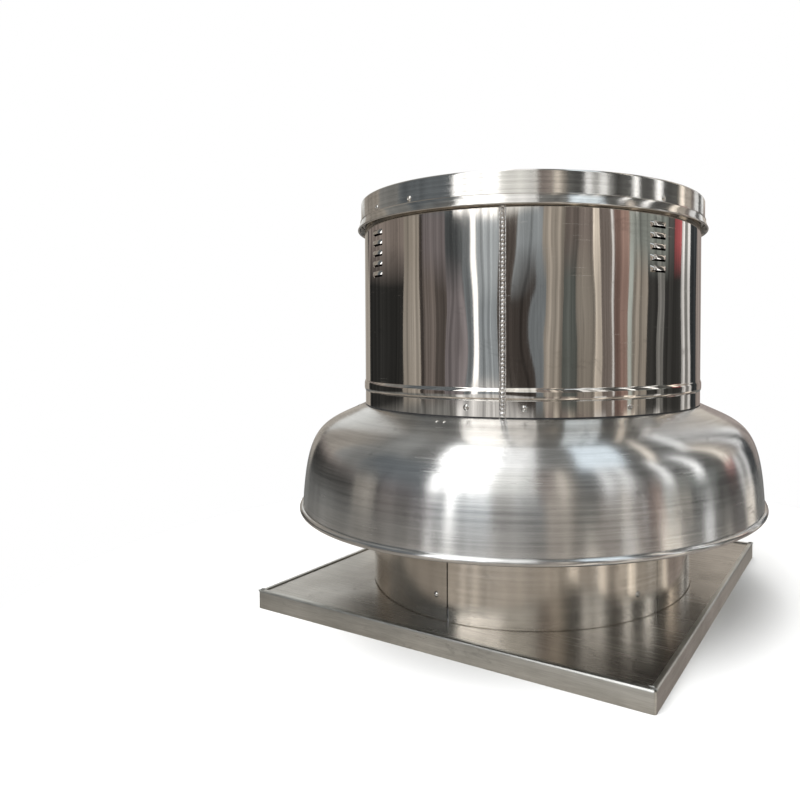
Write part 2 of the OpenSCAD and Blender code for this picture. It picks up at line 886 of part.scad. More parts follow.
// End shield at the cooling fan end
module rear_shield() {
  color("slategray")
    difference() {
      union() {
        translate([0, 0, housing_top]) cylinder(r = body_r, h = 8);
        translate([0, 0, housing_top]) cylinder(r = bearing_out_r + 6, h = rear_h);
      }
      translate([0, 0, upper_bearing_z - 2]) cylinder(r = bearing_out_r, h = bearing_w + 2);
      translate([0, 0, housing_top - 1]) cylinder(r = shaft_r + 2, h = rear_h + 2);
    }
}

// Cowl over the cooling fan, with a ring of slots in its top
module fan_cowl() {
  color("darkslategray")
    translate([0, 0, cowl_z])
      difference() {
        cylinder(r = cowl_r, h = cowl_h);
        translate([0, 0, -1]) cylinder(r = cowl_r - thin_t, h = cowl_h - thin_t + 1);
        translate([0, 0, cowl_h - 5]) cylinder(r = 14, h = 10);
        around(4, 45)
          translate([cowl_r - 5, 0, 8])
            rotate([0, 90, 0]) cylinder(r = small_hole_r, h = 10, $fn = small_fn);
        for (r = [26, 42, 58], a = [0:45:315])
          rotate([0, 0, a + 4])
            translate([0, 0, cowl_h - 5])
              rotate_extrude(angle = 37) translate([r, 0]) square([7, 10]);
      }
}

// Screws that hold the cowl to the housing fins
module cowl_screws() {
  color("lightgray")
    around(4, 45)
      translate([cowl_r, 0, cowl_z + 8]) dome_screw(3.5, 1.8, small_screw_r, thin_t);
}

// Terminal box on the side of the housing
module terminal_box() {
  color("darkslategray")
    rotate([0, 0, box_angle])
      translate([box_x, -box_w / 2, box_z])
        difference() {
          cube([box_d, box_w, box_h]);
          translate([4, 4, 4]) cube([box_d, box_w - 8, box_h - 8]);
          translate([box_d / 2, box_w / 2, -1]) cylinder(r = 8.1, h = 6, $fn = 32);
        }
}

// Lid of the terminal box
module terminal_lid() {
  color("darkslategray")
    rotate([0, 0, box_angle])
      translate([box_x + box_d, -box_w / 2, box_z])
        difference() {
          cube([lid_t, box_w, box_h]);
          for (y = [8, box_w - 8], z = [8, box_h - 8])
            translate([-1, y, z])
              rotate([0, 90, 0]) cylinder(r = small_hole_r, h = lid_t + 2, $fn = small_fn);
        }
}

// Screws of the terminal box lid
module lid_screws() {
  color("lightgray")
    rotate([0, 0, box_angle])
      translate([box_x + box_d + lid_t, -box_w / 2, box_z])
        for (y = [8, box_w - 8], z = [8, box_h - 8])
          translate([0, y, z]) dome_screw(3.5, 1.8, small_screw_r, lid_t);
}

// Cable gland under the terminal box
module cable_gland() {
  color("black")
    rotate([0, 0, box_angle])
      translate([box_x + box_d / 2, 0, box_z])
        difference() {
          union() {
            cylinder(r = 8, h = 8, $fn = 32);
            translate([0, 0, -8]) cylinder(r = 12, h = 8, $fn = 6);
            translate([0, 0, -20]) cylinder(r = 9.5, h = 12, $fn = 32);
          }
          translate([0, 0, -21]) cylinder(r = 5, h = 30, $fn = 32);
        }
}

// Laminated stator core
module stator_core() {
  color("gray")
    translate([0, 0, stack_z]) ring(bore_r, stator_in_r, stack_h);
}

// Winding heads above and below the stator core
module stator_windings() {
  color("peru")
    for (z = [stack_z - 20, stack_z + stack_h])
      translate([0, 0, z])
        rotate_extrude() translate([stator_in_r + 4, 0]) square([18, 20]);
}

// Deep groove bearing in the drive end shield
module lower_bearing() {
  color("silver")
    translate([0, 0, lower_bearing_z]) bearing();
}

// Deep groove bearing in the rear end shield
module upper_bearing() {
  color("silver")
    translate([0, 0, upper_bearing_z]) bearing();
}

module bearing() {
  rotate_extrude()
    difference() {
      translate([bearing_in_r, 0]) square([bearing_out_r - bearing_in_r, bearing_w]);
      translate([bearing_in_r + 6, -1]) square([bearing_out_r - bearing_in_r - 11, 2]);
      translate([bearing_in_r + 6, bearing_w - 1]) square([bearing_out_r - bearing_in_r - 11, 2]);
    }
}

// Shaft from the impeller hub up through both bearings to the cooling fan
module motor_shaft() {
  color("silver")
    difference() {
      union() {
        translate([0, 0, shaft_bottom]) cylinder(r = shaft_r, h = shaft_top - shaft_bottom);
        translate([0, 0, lower_bearing_z + bearing_w + 0.5])
          cylinder(r = collar_r, h = upper_bearing_z - lower_bearing_z - bearing_w - 1);
      }
      translate([shaft_r - 4, -key_w / 2, shaft_bottom + 2]) cube([key_h, key_w, key_l]);
      translate([0, 0, shaft_bottom - 1]) cylinder(r = 5, h = 26, $fn = 32);
    }
}

// Squirrel cage rotor core on the shaft
module rotor_core() {
  color("darkgray")
    translate([0, 0, stack_z]) ring(stator_in_r - air_gap, collar_r, stack_h);
}

// Small radial fan that blows air down the housing fins
module cooling_fan() {
  fan_z = rear_top + 4;
  color("black")
    translate([0, 0, fan_z])
      difference() {
        union() {
          cylinder(r = fan_hub_r, h = fan_h);
          cylinder(r = fan_r, h = fan_disc_t);
          around(7)
            translate([shaft_r + 1, -fan_disc_t / 2, 0])
              cube([fan_r - shaft_r - 1, fan_disc_t, fan_h - 2]);
        }
        translate([0, 0, -1]) cylinder(r = shaft_r, h = fan_h + 2);
      }
}

// Hub that carries the impeller on the shaft
module impeller_hub() {
  color("gray")
    difference() {
      union() {
        translate([0, 0, hub_bottom]) cylinder(r = hub_r, h = back_z - hub_bottom);
        translate([0, 0, back_z - hub_flange_t]) cylinder(r = hub_flange_r, h = hub_flange_t);
        translate([0, 0, back_z - 0.1]) cylinder(r = hub_r, h = back_t + 8);
      }
      translate([0, 0, hub_bottom - 1]) cylinder(r = shaft_r, h = 60);
      translate([0, -key_w / 2, hub_bottom - 1]) cube([shaft_r + key_h - 4, key_w, 60]);
      around(hub_rivet_count)
        translate([hub_rivet_r, 0, back_z - 10])
          cylinder(r = hub_rivet_hole_r, h = 20, $fn = small_fn);
    }
}

// Feather key between shaft and hub
module hub_key() {
  color("darkgray")
    translate([shaft_r - 4, -key_w / 2, shaft_bottom + 4]) cube([key_h, key_w, key_l - 2]);
}

// Thick washer under the shaft end
module hub_washer() {
  color("lightgray")
    translate([0, 0, hub_bottom - washer_t]) ring(shaft_r + 8, 5.2, washer_t);
}

// Bolt into the end of the shaft
module hub_bolt() {
  color("lightgray")
    translate([0, 0, hub_bottom - washer_t]) mirror([0, 0, 1]) hex_bolt(17, 6.4, 5, 26);
}

// Rivets that join hub flange and back plate
module hub_rivets() {
  color("lightgray")
    around(hub_rivet_count)
      translate([hub_rivet_r, 0, back_z + back_t])
        rotate([0, -90, 0]) dome_screw(6, 2.6, hub_rivet_hole_r - 0.05, back_t + hub_flange_t);
}

// Flat back plate of the impeller
module impeller_back_plate() {
  color("silver")
    translate([0, 0, back_z])
      difference() {
        ring(impeller_r, hub_r, back_t);
        around(hub_rivet_count)
          translate([hub_rivet_r, 0, -1])
            cylinder(r = hub_rivet_hole_r, h = back_t + 2, $fn = small_fn);
      }
}

// Plan of one backward curved blade, an arc through both blade ends
module blade_plan() {
  tip_r = impeller_r - blade_t;
  tip = [tip_r * cos(blade_sweep), tip_r * sin(blade_sweep)];
  root = [blade_in_r, 0];
  chord = norm(tip - root);
  bend_r = chord * blade_bend;
  side = [root[1] - tip[1], tip[0] - root[0]] / chord;
  centre = (tip + root) / 2 + side * sqrt(bend_r * bend_r - chord * chord / 4);
  intersection() {
    translate(centre)
      difference() {
        circle(r = bend_r + blade_t / 2, $fn = 120);
        circle(r = bend_r - blade_t / 2, $fn = 120);
      }
    polygon([centre, centre + 1.5 * (root - centre), centre + 1.5 * (tip - centre)]);
  }
}

// Space between back plate and shroud that the blades fill
module blade_space() {
  low_z = shroud_in_z - 8;
  rotate_extrude()
    polygon(concat(
      [[blade_in_r - 5, back_z], [blade_in_r - 5, low_z], [eye_r + 3, low_z]],
      [for (point = shroud_line(-0.05)) if (point[1] > low_z + 3) point],
      [[impeller_r + 5, shroud_out_z + 0.8], [impeller_r + 5, back_z]]
    ));
}

// Backward curved blades between back plate and shroud
module impeller_blades() {
  color("lightgray")
    intersection() {
      around(blade_count)
        translate([0, 0, shroud_in_z - 8]) linear_extrude(back_z - shroud_in_z + 8) blade_plan();
      blade_space();
    }
}

// Upper line of the shroud section, drawn inside by the distance in
function shroud_line(in) = concat(
  [[eye_r + in, shroud_lip_z]],
  [for (i = [0:shroud_steps])
    let (turn = 90 * i / shroud_steps, r = shroud_arc_r - in)
    [eye_r + shroud_arc_r - r * cos(turn), shroud_arc_z + r * sin(turn)]],
  [[impeller_r, shroud_out_z - in]]
);

// Curved shroud ring with the inlet eye
module impeller_shroud() {
  color("silver")
    rotate_extrude() polygon(concat(shroud_line(0), turned_back(shroud_line(shroud_t))));
}

base_frame();
base_plate();
foot_ring();
foot_rivets();
skirt_shell();
skirt_panel();
seam_straps();
skirt_screws();
skirt_deck();
inlet_cone();
inlet_cone_screws();
strut_1();
strut_2();
strut_3();
strut_4();
strut_5();
strut_6();
hood();
hood_brackets();
hood_rivets();
hood_gasket();
compartment_floor();
floor_bolts();
floor_nuts();
wiring_conduit();
conduit_nuts();
compartment_shell();
shell_weld();
shell_screws();
cap_ring();
top_cap();
cap_screws();
isolators();
isolator_bolts();
motor_plate();
flange_bolts();
drive_shield();
motor_housing();
rear_shield();
fan_cowl();
cowl_screws();
terminal_box();
terminal_lid();
lid_screws();
cable_gland();
stator_core();
stator_windings();
lower_bearing();
upper_bearing();
motor_shaft();
rotor_core();
cooling_fan();
impeller_hub();
hub_key();
hub_washer();
hub_bolt();
hub_rivets();
impeller_back_plate();
impeller_blades();
impeller_shroud();
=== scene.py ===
# %% [markdown]
# # A bare metal roof exhaust fan
# The fan is sheet metal from foot to cap: a folded square base, a rolled skirt, a
# spun hood and a rolled motor compartment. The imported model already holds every
# piece at its true size, so it is loaded first and used as a fixed frame. Blender
# adds what sheet metal needs to look real: smooth spun and rolled skins, pressed
# louvres, a weld bead, and a finish for each metal.

# %% Load the frame
import math
import random
import bmesh
import bpy
from mathutils import Matrix, Vector


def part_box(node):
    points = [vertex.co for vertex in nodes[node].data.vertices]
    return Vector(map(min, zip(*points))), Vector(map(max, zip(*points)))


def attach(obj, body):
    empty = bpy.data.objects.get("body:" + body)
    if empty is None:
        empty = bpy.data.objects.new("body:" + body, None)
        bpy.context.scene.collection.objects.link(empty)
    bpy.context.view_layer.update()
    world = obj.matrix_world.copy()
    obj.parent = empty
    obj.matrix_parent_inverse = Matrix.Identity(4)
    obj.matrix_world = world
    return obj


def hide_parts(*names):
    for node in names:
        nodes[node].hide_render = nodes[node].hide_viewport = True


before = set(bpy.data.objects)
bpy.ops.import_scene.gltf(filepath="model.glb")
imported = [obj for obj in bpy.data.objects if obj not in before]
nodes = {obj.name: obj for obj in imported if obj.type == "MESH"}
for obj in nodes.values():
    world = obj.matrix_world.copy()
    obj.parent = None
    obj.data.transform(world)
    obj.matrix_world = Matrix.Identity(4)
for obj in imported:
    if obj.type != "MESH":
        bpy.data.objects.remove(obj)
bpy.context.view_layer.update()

# %% [markdown]
# ## Helpers for working as by hand
# Operators act on whatever is selected, and the loaded nodes are all selected. So
# each step starts with nothing selected, and then picks vertices, edges or faces by
# their place. `pick` takes a rule, selects what the rule accepts, and counts it, and
# `only` selects one whole piece.

# %% Selecting in code
MM = 0.001


def nothing_selected():
    """Leave edit mode and select nothing."""
    if bpy.context.view_layer.objects.active and bpy.context.mode != "OBJECT":
        bpy.ops.object.mode_set(mode="OBJECT")
    bpy.ops.object.select_all(action="DESELECT")


def only(piece):
    """Select one piece and make it the active one."""
    nothing_selected()
    piece.select_set(True)
    bpy.context.view_layer.objects.active = piece


def pick(kind, rule):
    """In edit mode, select only the elements of one kind that a rule accepts."""
    bpy.ops.mesh.select_mode(type=kind)
    bpy.ops.mesh.select_all(action="DESELECT")
    mesh = bmesh.from_edit_mesh(bpy.context.edit_object.data)
    found = {"VERT": mesh.verts, "EDGE": mesh.edges, "FACE": mesh.faces}[kind]
    count = 0
    for element in found:
        if rule(element):
            element.select_set(True)
            count += 1
    bmesh.update_edit_mesh(bpy.context.edit_object.data)
    return count


def angle_of(point):
    """Angle of a point round the fan's axis, in degrees."""
    return math.degrees(math.atan2(point.y, point.x))

# %% [markdown]
# ## Sizes taken from the frame
# The skins are drawn again here, finer than the frame's triangles. Their radii and
# heights are read from the frame's own boxes, so the skins stay where the solids are.

# %% Radii and heights
skirt_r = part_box("skirt_shell")[1].x
skirt_foot, skirt_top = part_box("skirt_shell")[0].z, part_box("skirt_shell")[1].z
hood_low, hood_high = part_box("hood")
hood_r = hood_high.x
shell_low, shell_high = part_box("compartment_shell")
SHELL_OVER = 15 * MM
shell_r = skirt_r + SHELL_OVER
cap_low, cap_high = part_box("top_cap")
base_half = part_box("base_frame")[1].x
base_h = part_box("base_frame")[1].z
print("skirt r", round(skirt_r, 4), "shell r", round(shell_r, 4), "hood r", round(hood_r, 4))

# %% [markdown]
# ## The camera
# The photograph was taken from the right of the front edge, a little above the foot of
# the motor compartment. The camera's place was worked out from the ellipses of hood,
# cap and skirt and the corners of the base. The fan stands right of the picture's
# middle, so the lens is shifted to set it there.

# %% Camera
CAMERA_AT = (0.6226, -1.2241, 0.4877)
CAMERA_HEADING = math.radians(28.968)
CAMERA_DROP = math.radians(1.6017)
LENS_MM = 30.6
LENS_SHIFT = (-0.1347, -0.0511)
SENSOR_MM = 36

camera_data = bpy.data.cameras.new("camera")
camera_data.lens = LENS_MM
camera_data.sensor_width = SENSOR_MM
camera_data.shift_x, camera_data.shift_y = LENS_SHIFT
camera = bpy.data.objects.new("camera", camera_data)
camera.location = CAMERA_AT
camera.rotation_euler = (math.pi / 2 - CAMERA_DROP, 0, CAMERA_HEADING)
bpy.context.scene.collection.objects.link(camera)
bpy.context.scene.camera = camera
print("camera at", CAMERA_AT, "lens", LENS_MM, "mm")

# %% [markdown]
# ## Light for polished metal
# Metal shows its surroundings more than its own colour, so a rolled wall needs
# something to reflect. The world is a studio of upright panels, pale and dark by turns,
# in six rows one above the other. The skirt and the base reflect the ground row, the
# hood's wall the one above it, the compartment the next two, and the cap and the hood's
# bulge the fifth, which has the wide window. The top row bends over the roof as long
# strips, so the streaks on the hood's domed top run on up to its neck. Each row is a
# colour ramp that runs round the horizon, one stop to a panel, and a fine noise breaks
# every panel into narrower stripes. The camera sees a plain white backdrop instead.

# %% Studio world
def add(tree, kind, **values):
    """Add a node and set its properties and unlinked inputs by name."""
    node = tree.nodes.new(kind)
    for key, value in values.items():
        if hasattr(node, key):
            setattr(node, key, value)
        else:
            node.inputs[key.replace("_", " ")].default_value = value
    return node


def math_node(tree, operation, first, second=None):
    """One arithmetic step, each side a socket or a number."""
    node = tree.nodes.new("ShaderNodeMath")
    node.operation = operation
    for place, value in enumerate((first, second)):
        if isinstance(value, bpy.types.NodeSocket):
            tree.links.new(value, node.inputs[place])
        elif value is not None:
            node.inputs[place].default_value = value
    return node.outputs[0]


def spread(tree, value, low, high, from_low=0.3, from_high=0.7):
    """A value stretched from one range onto another."""
    node = add(tree, "ShaderNodeMapRange", From_Min=from_low, From_Max=from_high,
               To_Min=low, To_Max=high)
    tree.links.new(value, node.inputs["Value"])
    return node.outputs["Result"]


def blend_colours(tree, factor, first, second, way="MIX"):
    """Two colours mixed by a factor; each is a socket or a colour."""
    node = add(tree, "ShaderNodeMix", data_type="RGBA", blend_type=way)
    for place, value in ((0, factor), (6, first), (7, second)):
        if isinstance(value, bpy.types.NodeSocket):
            tree.links.new(value, node.inputs[place])
        elif place == 0:
            node.inputs[place].default_value = value
        else:
            node.inputs[place].default_value = (*value, 1)
    return node.outputs[2]


# Each panel: where it starts, in degrees from +X, its brightness and its tint by name
TINTS = {
    "grey": (1.0, 1.0, 0.97), "tan": (1.10, 1.0, 0.88), "brown": (1.16, 1.0, 0.92),
    "blue": (0.90, 1.0, 1.08), "violet": (1.06, 0.96, 1.0), "green": (0.94, 1.03, 0.98),
    "red": (2.0, 0.52, 0.56), "rust": (1.32, 0.91, 0.79), "white": (1.0, 1.0, 1.0),
}
GROUND_ROW = [
    (-180, 0.34, "tan"), (-125, 0.52, "tan"), (-100, 0.44, "tan"), (-39, 1.3, "tan"),
    (-33, 0.36, "tan"), (-19, 1.1, "tan"), (-13, 0.40, "tan"), (5, 1.2, "tan"), (11, 0.34, "tan"),
    (38, 1.1, "tan"), (43, 0.26, "brown"), (80, 0.36, "tan"),
]
LIP_ROW = [
    (-180, 0.24, "grey"), (-150, 0.20, "grey"), (-135, 0.26, "grey"), (-113.5, 0.80, "white"),
    (-78, 0.66, "white"), (-62, 0.18, "grey"), (-56, 0.30, "brown"), (-50, 0.52, "tan"),
    (-46, 0.26, "brown"), (-40, 0.44, "tan"), (-36, 0.26, "brown"), (-23, 0.9, "white"),
    (-16, 0.24, "brown"), (-3, 1.4, "tan"), (5, 0.24, "grey"), (20, 1.3, "white"),
    (28, 0.18, "grey"), (56, 1.0, "tan"), (66, 0.20, "grey"),
]
LOW_ROW = [
    (-180, 0.03, "grey"), (-155, 0.36, "tan"), (-141, 0.05, "brown"), (-138, 0.17, "brown"),
    (-129, 0.09, "brown"), (-120, 0.22, "violet"), (-109, 0.28, "blue"), (-104, 1.5, "white"),
    (-99.5, 0.42, "blue"), (-82, 0.06, "brown"), (-61, 0.24, "blue"), (-57, 0.36, "tan"),
    (-44, 0.14, "green"), (-34, 0.27, "tan"), (-23.5, 0.62, "tan"), (-19, 0.20, "brown"),
    (-12.5, 0.8, "white"), (-11, 0.22, "rust"), (0, 0.7, "green"), (2, 0.34, "tan"),
    (13, 0.05, "grey"), (23.5, 0.28, "grey"), (30, 0.05, "grey"), (52, 0.8, "white"),
    (56, 0.25, "grey"), (60, 0.8, "white"), (64, 0.05, "blue"), (76, 0.28, "brown"),
    (92, 0.30, "brown"), (118, 0.36, "tan"), (156, 0.03, "grey"),
]
MID_ROW = [
    (-180, 0.24, "brown"), (-155, 0.36, "tan"), (-141, 0.05, "brown"), (-138, 0.22, "violet"),
    (-120, 0.10, "blue"), (-109, 0.30, "blue"), (-104, 1.6, "white"), (-99.5, 0.60, "blue"),
    (-82, 0.09, "brown"), (-71, 0.42, "blue"), (-58, 0.40, "tan"), (-44, 0.15, "brown"),
    (-34, 0.22, "brown"), (-23.5, 0.95, "tan"), (-18.5, 0.20, "brown"), (-12.5, 1.0, "white"),
    (-11, 0.30, "rust"), (0, 0.6, "green"), (3, 0.32, "green"), (34, 0.10, "grey"),
    (41, 0.26, "red"), (52, 1.2, "white"), (56, 0.3, "grey"), (60, 1.1, "white"),
    (64, 0.06, "blue"), (78, 0.30, "brown"), (118, 0.36, "tan"), (150, 0.04, "grey"),
    (153, 0.24, "brown"),
]
HIGH_ROW = [
    (-180, 0.28, "grey"), (-158, 0.17, "blue"), (-136, 0.20, "blue"), (-115, 2.3, "white"),
    (-84, 1.1, "grey"), (-60.5, 0.26, "brown"), (-51, 0.8, "tan"), (-46, 0.45, "tan"),
    (-43, 0.13, "grey"), (-30, 1.1, "white"), (-25, 0.5, "grey"), (-21, 1.3, "white"),
    (-15, 0.30, "grey"), (-10.5, 0.12, "grey"), (1.5, 2.1, "white"), (6, 0.12, "grey"),
    (20, 2.1, "white"), (26, 0.12, "grey"), (45, 1.5, "tan"), (50, 0.5, "tan"),
    (60, 0.2, "brown"), (66, 1.2, "white"), (72, 0.14, "grey"), (80, 0.9, "white"),
    (86, 0.55, "tan"), (128, 0.8, "grey"), (150, 0.34, "tan"),
]
TOP_ROW = [
    (-180, 0.20, "grey"), (-150, 0.34, "grey"), (-128, 0.22, "grey"), (-112, 2.3, "white"),
    (-80, 1.3, "white"), (-61, 0.24, "grey"), (-42, 1.2, "blue"), (-17, 0.16, "grey"),
    (-3, 1.3, "tan"), (2, 0.14, "grey"), (19, 1.5, "white"), (27, 0.14, "grey"),
    (36, 1.2, "white"), (44, 0.16, "grey"), (54, 1.4, "white"), (60, 0.18, "grey"),
    (72, 1.3, "tan"), (80, 0.22, "grey"), (92, 1.2, "white"), (100, 0.25, "grey"),
    (117, 0.22, "grey"),
]
# Each row over the ground row: where it begins to fade in and where it is full, from -1
# straight down to 1 straight up
UPRIGHT_ROWS = [
    (LIP_ROW, -0.25, -0.22), (LOW_ROW, -0.11, -0.09), (MID_ROW, 0.08, 0.14), (HIGH_ROW, 0.185, 0.20),
]
TOP_FROM, TOP_FULL = 0.60, 0.72
ARCH_TO = math.radians(-63)
STRIPE_SCALE = 70.0
STRIPE_LIGHT = (0.55, 1.45)
BACKDROP = (1.0, 1.0, 1.0)


def panel_row(tree, share, panels):
    """One row of panels round the horizon, each a stop of a stepped colour ramp."""
    node = tree.nodes.new("ShaderNodeValToRGB")
    node.color_ramp.interpolation = "CONSTANT"
    stops = node.color_ramp.elements
    stops.remove(stops[1])
    for count, (angle, light, tint) in enumerate(panels):
        stop = stops.new(angle / 360 + 0.5) if count else stops[0]
        stop.color = (*(light * part for part in TINTS[tint]), 1)
    tree.links.new(share, node.inputs["Fac"])
    return node.outputs["Color"]


def arched_share(tree, direction):
    """The way round for strips that rise in front, cross the roof and meet far behind."""
    turned = add(tree, "ShaderNodeVectorRotate", rotation_type="Z_AXIS", Angle=-ARCH_TO)
    tree.links.new(direction, turned.inputs["Vector"])
    parts = add(tree, "ShaderNodeSeparateXYZ")
    tree.links.new(turned.outputs[0], parts.inputs[0])
    ahead = math_node(tree, "ADD", parts.outputs["X"], 1.001)
    half = math_node(tree, "ARCTAN2", parts.outputs["Y"], ahead)
    whole = math_node(tree, "DIVIDE", half, math.pi)
    return math_node(tree, "FRACT", math_node(tree, "ADD", whole, 0.5 + ARCH_TO / (2 * math.pi)))


def studio_world():
    """Rows of panels for reflections, a plain backdrop for the camera."""
    world = bpy.data.worlds.new("studio")
    bpy.context.scene.world = world
    world.use_nodes = True
    tree = world.node_tree
    tree.nodes.clear()
    direction = add(tree, "ShaderNodeTexCoord").outputs["Generated"]
    parts = add(tree, "ShaderNodeSeparateXYZ")
    tree.links.new(direction, parts.inputs[0])
    height = parts.outputs["Z"]
    turn = math_node(tree, "ARCTAN2", parts.outputs["Y"], parts.outputs["X"])
    share = math_node(tree, "ADD", math_node(tree, "DIVIDE", turn, 2 * math.pi), 0.5)
    rows = panel_row(tree, share, GROUND_ROW)
    for panels, starts, full in UPRIGHT_ROWS:
        rows = blend_colours(tree, spread(tree, height, 0, 1, starts, full), rows,
                             panel_row(tree, share, panels))
    rows = blend_colours(tree, spread(tree, height, 0, 1, TOP_FROM, TOP_FULL), rows,
                         panel_row(tree, arched_share(tree, direction), TOP_ROW))
    fine = add(tree, "ShaderNodeTexNoise", noise_dimensions="1D", Scale=STRIPE_SCALE, Detail=3.0,
               Roughness=0.75)
    tree.links.new(share, fine.inputs["W"])
    studio = blend_colours(tree, 1.0, rows, spread(tree, fine.outputs["Fac"], *STRIPE_LIGHT), "MULTIPLY")
    seen = add(tree, "ShaderNodeLightPath").outputs["Is Camera Ray"]
    light = add(tree, "ShaderNodeBackground")
    tree.links.new(blend_colours(tree, seen, studio, BACKDROP), light.inputs["Color"])
    out = add(tree, "ShaderNodeOutputWorld")
    tree.links.new(light.outputs[0], out.inputs["Surface"])


studio_world()
bpy.context.scene.view_settings.view_transform = "Standard"
print("panels:", [len(row) for row in (GROUND_ROW, LIP_ROW, LOW_ROW, MID_ROW, HIGH_ROW, TOP_ROW)])

# %% [markdown]
# A soft sun overhead lights the floor evenly, and the painted and rubber pieces with it.
# Metal would show it as a hard spot, so it is hidden from reflections.

# %% Soft overhead light
sun_data = bpy.data.lights.new("soft_sun", "SUN")
sun_data.energy = 3.3
sun_data.angle = math.radians(75)
sun = bpy.data.objects.new("soft_sun", sun_data)
sun.rotation_euler = (math.radians(20), math.radians(-16), 0)
sun.visible_glossy = False
bpy.context.scene.collection.objects.link(sun)

# %% [markdown]
# ## Finishes
# Every finish is made of the same few ideas. Fine grain is noise stretched along the
# way the metal was brushed, rolled or spun. Wide patches are slow noise that shifts
# colour and roughness, as handling and oil do. Both read Object coordinates, so they
# stay on the metal when it is seen from elsewhere. Grain also feeds a small bump.

# %% Building blocks of a finish
def new_finish(name, metallic=1.0, **fixed):
    """An empty material with one shader; fixed values are set on its own sockets."""
    material = bpy.data.materials.new(name)
    material.use_nodes = True
    tree = material.node_tree
    tree.nodes.clear()
    out = add(tree, "ShaderNodeOutputMaterial")
    shader = add(tree, "ShaderNodeBsdfPrincipled")
    shader.inputs["Metallic"].default_value = metallic
    for key, value in fixed.items():
        shader.inputs[key.replace("_", " ")].default_value = value
    tree.links.new(shader.outputs[0], out.inputs["Surface"])
    return material, tree, shader


def noise(tree, scale, detail=3.0, roughness=0.55, distortion=0.0, turn=0.0, tilt=0.0):
    """Noise on Object coordinates, finer along the axes with a larger scale."""
    place = add(tree, "ShaderNodeTexCoord").outputs["Object"]
    mapping = add(tree, "ShaderNodeMapping")
    mapping.inputs["Scale"].default_value = scale
    mapping.inputs["Rotation"].default_value = (tilt, tilt, turn)
    tree.links.new(place, mapping.inputs["Vector"])
    texture = add(tree, "ShaderNodeTexNoise", Scale=1.0, Detail=detail, Roughness=roughness,
                  Distortion=distortion)
    tree.links.new(mapping.outputs[0], texture.inputs["Vector"])
    return texture.outputs["Fac"]


def bump(tree, height, depth, under=None):
    """A bump of a depth in metres, over another bump if one is given."""
    node = add(tree, "ShaderNodeBump", Strength=1.0, Distance=depth)
    tree.links.new(height, node.inputs["Height"])
    if under is not None:
        tree.links.new(under, node.inputs["Normal"])
    return node.outputs[0]


def dent(tree, centre, size):
    """A smooth oval that is 1 at its centre and 0 past its half sizes, on Object coordinates."""
    place = add(tree, "ShaderNodeTexCoord").outputs["Object"]
    mapping = add(tree, "ShaderNodeMapping", vector_type="POINT")
    mapping.inputs["Scale"].default_value = tuple(1 / part for part in size)
    mapping.inputs["Location"].default_value = tuple(-at / part for at, part in zip(centre, size))
    tree.links.new(place, mapping.inputs["Vector"])
    away = add(tree, "ShaderNodeVectorMath", operation="LENGTH")
    tree.links.new(mapping.outputs[0], away.inputs[0])
    fade = add(tree, "ShaderNodeMapRange", interpolation_type="SMOOTHERSTEP", From_Min=0.0,
               From_Max=1.0, To_Min=1.0, To_Max=0.0)
    tree.links.new(away.outputs["Value"], fade.inputs["Value"])
    return fade.outputs["Result"]


def on_wall(radius, angle, z):
    """A point of an upright round wall."""
    turn = math.radians(angle)
    return (radius * math.cos(turn), radius * math.sin(turn), z)


LINE_SHADE = 0.35
STAIN_SHADE = 0.30
SCRATCH_COLOUR = (0.92, 0.91, 0.88)
SCRATCH_WAYS = ((0.35, 11.0), (-0.6, 47.0))


